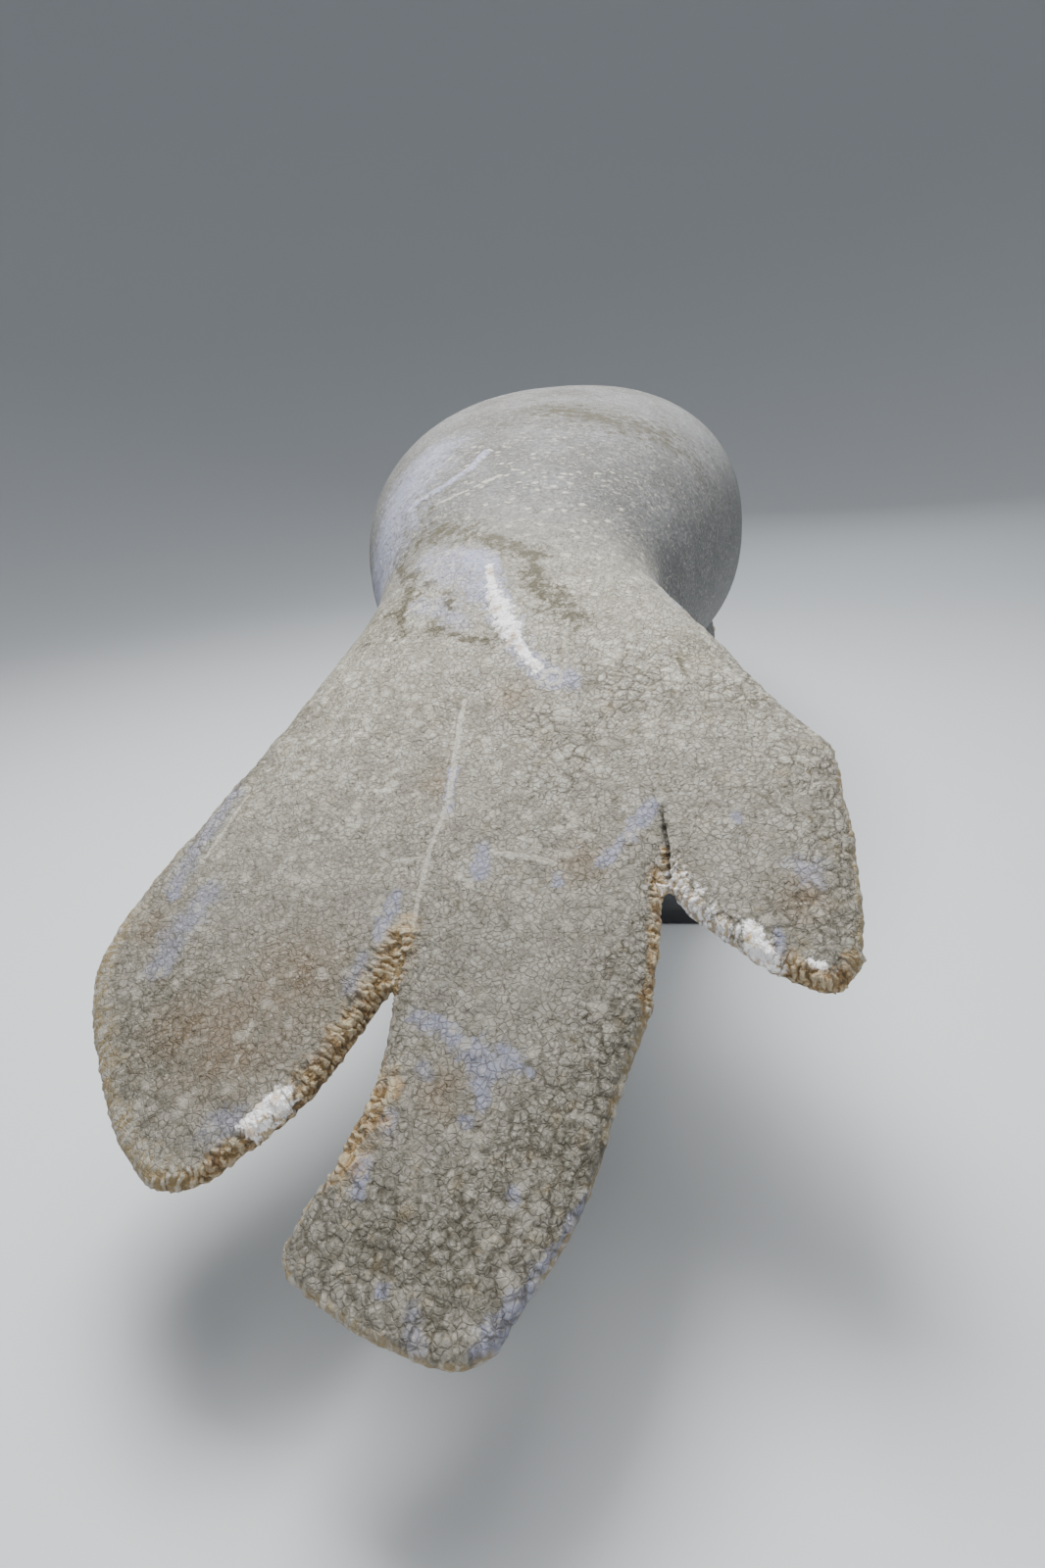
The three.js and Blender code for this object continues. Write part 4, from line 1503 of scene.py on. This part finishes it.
        # Healed rims: cream on the ribs' tops and dark between them, partly the scar tissue's own
        # colour and partly painted highlight and painted shade.
        healed = graph.blend(graph.rise(ribs, 0.42, 0.62), self.gold, self.cream)
        healed = graph.blend(graph.rise(patches, 0.54, 0.70, 0.0, 0.45), healed, self.rust)
        healed = graph.blend(graph.rise(ribs, 0.44, 0.28, 0.0, 0.75), healed, self.grime_and_crevice_shade)
        raw = graph.frayed(Rim.RAW, fray, 1.6, 0.30, 0.85)
        base = graph.blend(graph.times(raw, 0.85), base, healed)
        natural = graph.frayed(Rim.NATURAL, fray, 1.5, 0.30, 0.85)
        tan = graph.blend(graph.rise(ribs, 0.40, 0.66), self.ochre, self.speck)
        base = graph.blend(graph.times(natural, 0.68), base, tan)
        threads = graph.rise(graph.total(ribs, graph.times(fluff, 0.9)), 0.36, 0.60)
        tufts = graph.blend(threads, self.pearl, self.white)
        edge_white = graph.times(graph.frayed(Rim.WHITE, fluff, 2.4, 0.30, 0.90), 0.9)
        base = graph.blend(edge_white, base, tufts)
        white = graph.frayed(Mark.WHITE, fluff, 1.9, 0.34, 0.66)
        core = graph.blend(graph.rise(fray, -0.14, -0.05), self.cream, self.white)
        core = graph.blend(graph.rise(patches, 0.52, 0.66, 0.0, 0.60), core, self.gold)
        return graph.blend(white, base, core), graph.math("MAXIMUM", white, edge_white)

    def bumps(self, graph: Graph, lie: Sockets, grain: Sockets, scar: Sockets) -> Sockets:
        """Add up the relief that is too fine for the mesh.

        Args:
            graph: Where the nodes go.
            lie: Each place on the straight animal.
            grain: The hide's finest noise.
            scar: How much of the surface is scar.

        Returns:
            The relief's height, in parts of the bump's own.
        """
        paddle, trunk = graph.attribute("paddle"), graph.off("paddle")
        rims = graph.total(graph.attribute(Rim.RAW), graph.attribute(Rim.WHITE))
        return graph.total(
            graph.times(HidePattern.cobbles(graph, lie), graph.attribute("cobble"), 0.6),
            graph.times(grain, graph.less(1.0, graph.times(scar, 0.6)), 0.75),
            graph.times(HidePattern.pimples(graph, lie), 0.45),
            graph.times(HidePattern.network(graph, lie), paddle, -0.40),
            graph.times(HidePattern.creases(graph, lie), trunk, -0.38),
            graph.times(HidePattern.wrinkles(graph, lie), trunk, 0.9),
            graph.times(HidePattern.ribs(graph), graph.rise(rims, 0.1, 0.8), 2.4),
        )

    def material(self) -> bpy.types.Material:
        """Paint the hide.

        Returns:
            The hide's material.
        """
        made, graph, shader = blank_material("manatee_hide")
        lie = graph.attribute("lie", vector=True)
        mottle = graph.noise(lie, 42.0, 5.0, 0.65)
        base = self.texture(graph, lie, mottle, self.body(graph, lie, mottle))
        base, scar = self.marks(graph, lie, base)
        # Painted shade: darken the lobes towards their ends, but not their scars.
        painted_lobe_shade_ramp = graph.rise(graph.part(lie, 1), self.lobe_start, self.lobe_middle)
        painted_lobe_shade_colour = graph.blend(1.0, base, (self.lobe_painted_shade,) * 3 + (1.0,), "MULTIPLY")
        base = graph.blend(graph.times(painted_lobe_shade_ramp, graph.less(1.0, scar)), base, painted_lobe_shade_colour)
        # Painted shade: darken the mouth's line, the nostrils' slits and the cleft, where they are
        # pressed in.
        cleft = graph.rise(graph.attribute(Mark.CLEFT), 0.3, 0.8)
        dark = graph.math("MAXIMUM", graph.attribute("painted_hollow_shade"), cleft)
        base = graph.blend(graph.times(dark, 0.85), base, self.painted_hollow_shade)
        graph.feed(shader, "Base Color", base)
        grain = graph.noise(lie, 360.0, 4.0, 0.7)
        gloss = graph.rise(graph.total(grain, graph.times(scar, -0.25)), 0.3, 0.7, 0.46, 0.68)
        graph.feed(shader, "Roughness", gloss)
        graph.feed(shader, "Specular IOR Level", self.specular)
        height = self.bumps(graph, lie, grain, scar)
        inputs = {"Height": height, "Strength": self.bump_strength, "Distance": self.bump_height}
        graph.feed(shader, "Normal", graph.node("ShaderNodeBump", inputs).outputs[0])
        return made


def grain_group() -> bpy.types.NodeTree:
    """Make, once, the shared grain: fine streaks over broad clouds.

    Returns:
        The shader node group, which takes a vector and puts out a mask.
    """
    known = bpy.data.node_groups.get("surface_grain")
    if known:
        return known
    tree = bpy.data.node_groups.new("surface_grain", "ShaderNodeTree")
    tree.interface.new_socket("Vector", in_out="INPUT", socket_type="NodeSocketVector")
    tree.interface.new_socket("Mask", in_out="OUTPUT", socket_type="NodeSocketFloat")
    graph = Graph(tree)
    vector = graph.node("NodeGroupInput").outputs[0]
    fine = graph.times(graph.noise(vector, 60.0, 5.0, 0.7), 0.6)
    broad = graph.times(graph.noise(vector, 4.0, 3.0, 0.5), 0.4)
    graph.node("NodeGroupOutput", {0: graph.rise(graph.total(fine, broad), 0.36, 0.64)})
    return tree


@dataclass(frozen=True)
class PlainFinish:
    """A made or horny surface: one colour that noise varies, with its gloss and fine relief."""

    name: str
    dark: Colour
    light: Colour
    roughness: tuple[float, float]
    scale: tuple[float, float, float]
    relief: float
    metallic: float = 0.0
    coat: float = 0.0

    def material(self) -> bpy.types.Material:
        """Paint the surface, once.

        Returns:
            The surface's material.
        """
        known = bpy.data.materials.get(self.name)
        if known:
            return known
        made, graph, shader = blank_material(self.name)
        lie = graph.vector("MULTIPLY", graph.node("ShaderNodeTexCoord").outputs["Object"], self.scale)
        grain = graph.node("ShaderNodeGroup", {"Vector": lie}, node_tree=grain_group())
        mask = grain.outputs["Mask"]
        graph.feed(shader, "Base Color", graph.blend(mask, self.dark, self.light))
        graph.feed(shader, "Roughness", graph.rise(mask, 0.0, 1.0, *self.roughness))
        inputs = {"Height": mask, "Strength": 0.4, "Distance": self.relief}
        graph.feed(shader, "Normal", graph.node("ShaderNodeBump", inputs).outputs[0])
        graph.feed(shader, "Metallic", self.metallic)
        graph.feed(shader, "Coat Weight", self.coat)
        return made


EYE_FINISH = PlainFinish(
    "manatee_eye", (14, 9, 7), (44, 28, 18), (0.06, 0.12), (3.0, 3.0, 3.0), 0.0001, coat=0.6
)
NAIL_FINISH = PlainFinish(
    "manatee_nail", (132, 118, 96), (190, 178, 152), (0.35, 0.5), (8.0, 1.0, 8.0), 0.0004
)
BRISTLE_FINISH = PlainFinish(
    "manatee_bristle", (150, 138, 112), (206, 196, 170), (0.4, 0.6), (4.0, 4.0, 4.0), 0.0002
)
PAINT_FINISH = PlainFinish(
    "stand_paint", (38, 40, 43), (50, 52, 56), (0.42, 0.58), (6.0, 6.0, 6.0), 0.0003
)
STEEL_FINISH = PlainFinish(
    "stand_steel", (150, 152, 155), (170, 172, 174), (0.30, 0.40), (1.0, 1.0, 9.0), 0.00005, 1.0
)


@dataclass
class Eyes:
    """Two small dark eyeballs with a clear bulge over the iris."""

    segments: int = 48
    bulge: float = 0.0009

    def build(self, side: str) -> bpy.types.Object:
        """Make one eyeball.

        Args:
            side: left or right.

        Returns:
            The finished piece.
        """
        spot, facing = FACE.eye(SIDES[side])
        centre = spot - facing * FACE.eye_sunk
        deselect()
        bpy.ops.mesh.primitive_uv_sphere_add(
            segments=self.segments, ring_count=self.segments // 2,
            radius=FACE.eye_radius, location=centre,
        )
        ball = bpy.context.object
        ball.rotation_euler = facing.to_track_quat("Z", "Y").to_euler()
        settle(ball, f"eyeball_{side}")
        points = points_of(ball)
        out = (points - np.array(centre)) / FACE.eye_radius
        cornea = self.bulge * smoothstep(out @ np.array(facing), 0.86, 0.97)
        place(ball, points + cornea[:, None] * out)
        bpy.ops.object.shade_smooth()
        ball.data.materials.append(EYE_FINISH.material())
        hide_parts(f"eye_{side}")
        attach(ball, "root")
        return ball


@dataclass
class Nails:
    """The flippers' small flat nails."""

    roundness: int = 3
    proud: float = 0.0012

    def build(self, side: str, number: int) -> bpy.types.Object:
        """Make one nail over its solid: a low ridged shell with a rounded end.

        Args:
            side: left or right.
            number: 1 to 3, along the flipper's end.

        Returns:
            The finished piece.
        """
        node = f"nail_{side}_{number}"
        name = f"horn_{side}_{number}"
        piece = settle(copy_of(node, name), name)
        modify(piece, "SUBSURF", levels=self.roundness, render_levels=self.roundness)
        place(piece, points_of(piece) + self.proud * normals_of(piece))
        take(piece)
        bpy.ops.object.shade_smooth()
        piece.data.materials.clear()
        piece.data.materials.append(NAIL_FINISH.material())
        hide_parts(node)
        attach(piece, "root")
        return piece


@dataclass
class Bristles:
    """The stiff short bristles of the upper lips and chin."""

    count: int = 420
    longest: float = 0.019
    rooted: float = 0.002
    root_radius: float = 0.0006
    rings: tuple[tuple[float, float], ...] = ((0.0, 1.0), (0.55, 0.7))
    sides: int = 4
    patch: float = 0.0015
    seed: int = 7

    def build(self, skin: bpy.types.Object) -> bpy.types.Object:
        """Set bristles on the snout's front, each rooted in the skin.

        Args:
            skin: The finished skin.

        Returns:
            All the bristles, in one piece.
        """
        rng = np.random.default_rng(self.seed)
        points, normals = points_of(skin), normals_of(skin)
        body = SPINE.straight(points)
        on_lips = (body[:, 1] < 0.085) & (body[:, 2] < 0.022) & (body[:, 2] > -0.135)
        on_lips &= normals[:, 1] < 0.25
        vertices, faces, spots = [], [], []
        for root in rng.choice(np.flatnonzero(on_lips), self.count, replace=False):
            length = self.longest * rng.uniform(0.25, 1.0) ** 1.5
            leaning = (rng.normal(0, 0.22), rng.normal(0, 0.15), -0.35 + rng.normal(0, 0.2))
            way = (Vector(normals[root]) + Vector(leaning)).normalized()
            side = way.orthogonal().normalized()
            other = way.cross(side)
            base = Vector(points[root]) - way * self.rooted
            bend = Vector((0.0, 0.0, -1.0)) * length * 0.18
            first = len(vertices)
            for share, radius in self.rings:
                middle = base + way * length * share + bend * share**2
                for k in range(self.sides):
                    turn = 2 * pi * k / self.sides
                    offset = (side * cos(turn) + other * sin(turn)) * self.root_radius * radius
                    vertices.append(middle + offset)
            vertices.append(base + way * length + bend)
            second, tip = first + self.sides, first + 2 * self.sides
            for k in range(self.sides):
                after = (k + 1) % self.sides
                faces.append((first + k, first + after, second + after, second + k))
                faces.append((second + k, second + after, tip))
            faces.append(tuple(first + k for k in reversed(range(self.sides))))
            round_head = float(np.arctan2(body[root, 0], -body[root, 2] - 0.2)) / (2 * pi) + 0.5
            spots.append((round_head, 0.1 + 3.0 * float(body[root, 1])))
        mesh = bpy.data.meshes.new("muzzle_bristles")
        mesh.from_pydata(vertices, [], faces)
        piece = bpy.data.objects.new("muzzle_bristles", mesh)
        bpy.context.collection.objects.link(piece)
        self.unwrap(mesh, spots)
        take(piece)
        bpy.ops.object.shade_smooth()
        mesh.materials.append(BRISTLE_FINISH.material())
        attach(piece, "root")
        return piece

    def unwrap(self, mesh: bpy.types.Mesh, spots: list[tuple[float, float]]) -> None:
        """Give each bristle its own small patch at its root's place on the head's unwrap.

        Args:
            mesh: The bristles' mesh.
            spots: Each root's place on the unwrap.
        """
        layer = mesh.uv_layers.new(name="OFBake")
        each = 2 * self.sides + 1
        for loop in mesh.loops:
            bristle, k = divmod(loop.vertex_index, each)
            turn = 2 * pi * (k % self.sides) / self.sides
            reach = self.patch * (1.0 if k < self.sides else 0.5 if k < each - 1 else 0.0)
            u, v = spots[bristle]
            layer.data[loop.index].uv = (u + reach * cos(turn), v + reach * sin(turn))


@dataclass
class Stand:
    """The plain display stand: a painted slab and brushed rods with collars."""

    corner_radius: float = 0.06
    corner_steps: int = 12
    slab_bevel: float = 0.004
    rod_bevel: float = 0.0025
    rod_radius: float = 0.030
    collar_radius: float = 0.062
    collar_height: float = 0.014

    def ease(self, piece: bpy.types.Object, width: float) -> None:
        """Round a piece's sharp edges and shade the rest of it smooth."""
        modify(piece, "BEVEL", width=width, segments=3, limit_method="ANGLE", angle_limit=radians(40))
        bpy.ops.object.shade_smooth_by_angle(angle=radians(35))

    def build_base(self) -> bpy.types.Object:
        """Make the slab, with rounded corners and eased edges.

        Returns:
            The finished piece.
        """
        low, high = (Vector(corner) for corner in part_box("stand_base"))
        size = high - low
        deselect()
        bpy.ops.mesh.primitive_cube_add(size=1.0, location=(low + high) / 2)
        slab = bpy.context.object
        slab.scale = size
        settle(slab, "display_base")
        heights = [[slab.data.vertices[i].co.z for i in edge.vertices] for edge in slab.data.edges]
        with editing(slab, "EDGE", [abs(a - b) > size.z / 2 for a, b in heights]):
            bpy.ops.mesh.bevel(offset=self.corner_radius, segments=self.corner_steps, affect="EDGES")
        self.ease(slab, self.slab_bevel)
        slab.data.materials.append(PAINT_FINISH.material())
        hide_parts("stand_base")
        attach(slab, "root")
        return slab

    def build_rod(self, which: str) -> bpy.types.Object:
        """Make one rod with its collar, up into the belly's curve.

        Args:
            which: front or rear.

        Returns:
            The finished piece.
        """
        node = f"stand_rod_{which}"
        low, high = (Vector(corner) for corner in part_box(node))
        middle = (low + high) / 2
        deselect()
        bpy.ops.mesh.primitive_cylinder_add(
            vertices=64, radius=self.collar_radius, depth=self.collar_height,
            location=(middle.x, middle.y, low.z + self.collar_height / 2),
        )
        rod = settle(bpy.context.object, f"display_rod_{which}")
        levels = [face.center.z + face.normal.z for face in rod.data.polygons]
        rise = high.z - low.z - self.collar_height
        with editing(rod, "FACE", [level == max(levels) for level in levels]):
            bpy.ops.mesh.inset(thickness=self.collar_radius - self.rod_radius)
            bpy.ops.mesh.extrude_region_move(TRANSFORM_OT_translate={"value": (0.0, 0.0, rise)})
        self.ease(rod, self.rod_bevel)
        rod.data.materials.append(STEEL_FINISH.material())
        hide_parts(node)
        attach(rod, "root")
        return rod


@dataclass(frozen=True)
class Lamp:
    """One large soft light: its name, place, width, power in watts and colour."""

    name: str
    place: tuple[float, float, float]
    size: float
    power: float
    colour: tuple[float, float, float]


@dataclass
class Studio:
    """A pale sweep, soft lights and the camera at the photograph's angle."""

    lens: float = 20.0
    sensor: float = 36.0
    eye: tuple[float, float, float] = (-0.185, 2.052, 0.750)
    yaw: float = radians(9.18)
    pitch: float = radians(20.48)
    roll: float = radians(-4.44)
    floor_half: float = 3.5
    bend: float = 7.0
    bend_steps: int = 24
    wall: float = 6.0
    aim: tuple[float, float, float] = (0.0, 0.6, 0.5)
    sky: tuple[float, float, float, float] = (0.86, 0.90, 0.95, 1.0)
    sky_strength: float = 0.38
    lamps: tuple[Lamp, ...] = (
        Lamp("key", (0.4, 0.5, 3.0), 1.3, 130.0, (1.0, 0.9875, 0.97)),
        Lamp("top", (-0.4, 0.6, 4.0), 2.6, 84.0, (1.0, 1.0, 1.0)),
        Lamp("fill", (-0.3, 4.2, 1.8), 1.6, 42.0, (1.0, 0.99, 0.976)),
        Lamp("front", (-1.4, -4.0, 2.6), 2.6, 46.0, (0.88, 0.95, 1.0)),
    )

    def build_camera(self) -> None:
        """Aim the camera."""
        level = cos(self.pitch)
        ahead = Vector((sin(self.yaw) * level, -cos(self.yaw) * level, -sin(self.pitch)))
        right = ahead.cross(Vector((0, 0, 1))).normalized()
        up = right.cross(ahead)
        leaned = right * cos(self.roll) + up * sin(self.roll)
        upright = up * cos(self.roll) - right * sin(self.roll)
        data = bpy.data.cameras.new("camera")
        data.lens = self.lens
        data.sensor_width = self.sensor
        data.clip_start = 0.02
        camera = bpy.data.objects.new("camera", data)
        turn = Matrix((leaned, upright, -ahead)).transposed().to_4x4()
        camera.matrix_world = Matrix.Translation(self.eye) @ turn
        bpy.context.collection.objects.link(camera)
        bpy.context.scene.camera = camera

    def build_sweep(self) -> None:
        """Lay a pale floor that curves up gently into a backdrop on all sides."""
        deselect()
        bpy.ops.mesh.primitive_circle_add(
            vertices=128, radius=self.floor_half, fill_type="NGON", location=(0, 0, 0)
        )
        floor = bpy.context.object
        with editing(floor, "EDGE"):
            bpy.ops.mesh.region_to_loop()
            reach = self.floor_half
            for step in range(1, self.bend_steps + 1):
                before, after = (radians(90) * k / self.bend_steps for k in (step - 1, step))
                self.raise_edge(self.bend * (cos(before) - cos(after)))
                wider = reach + self.bend * (sin(after) - sin(before))
                bpy.ops.transform.resize(
                    value=(wider / reach, wider / reach, 1.0), center_override=(0.0, 0.0, 0.0)
                )
                reach = wider
            self.raise_edge(self.wall)
        settle(floor, "studio_floor")
        bpy.ops.object.shade_smooth()
        made, graph, shader = blank_material("studio_floor")
        graph.feed(shader, "Base Color", linear(206, 209, 212))
        graph.feed(shader, "Roughness", 0.9)
        floor.data.materials.append(made)

    @staticmethod
    def raise_edge(rise: float) -> None:
        """Extrude the open edge upwards."""
        bpy.ops.mesh.extrude_edges_move(TRANSFORM_OT_translate={"value": (0.0, 0.0, rise)})

    def build_lights(self) -> None:
        """Light the animal softly from above, with the key light a little to its left."""
        world = bpy.data.worlds.new("studio")
        world.use_nodes = True
        sky = world.node_tree.nodes["Background"]
        sky.inputs["Color"].default_value = self.sky
        sky.inputs["Strength"].default_value = self.sky_strength
        bpy.context.scene.world = world
        for lamp in self.lamps:
            data = bpy.data.lights.new(lamp.name, "AREA")
            data.size, data.energy, data.color = lamp.size, lamp.power, lamp.colour
            light = bpy.data.objects.new(lamp.name, data)
            light.location = lamp.place
            towards = Vector(self.aim) - Vector(lamp.place)
            light.rotation_euler = towards.to_track_quat("-Z", "Y").to_euler()
            bpy.context.collection.objects.link(light)


def main() -> None:
    """Build the manatee, its stand and the studio, in order."""
    logging.basicConfig(level=logging.INFO, format="%(name)s: %(message)s")
    studio = Studio()
    studio.build_camera()
    skin = Skin().build()
    skin.data.materials.append(HideFinish().material())
    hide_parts(*FLESH)
    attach(skin, "root")
    log.info("skin built")
    eyes, nails, stand = Eyes(), Nails(), Stand()
    for side in SIDES:
        log.info("%s built", eyes.build(side).name)
        for number in range(1, NAILS_A_SIDE + 1):
            log.info("%s built", nails.build(side, number).name)
    log.info("%s built", Bristles().build(skin).name)
    log.info("%s built", stand.build_base().name)
    for which in ("front", "rear"):
        log.info("%s built", stand.build_rod(which).name)
    studio.build_sweep()
    studio.build_lights()
    deselect()


if __name__ == "__main__":
    main()
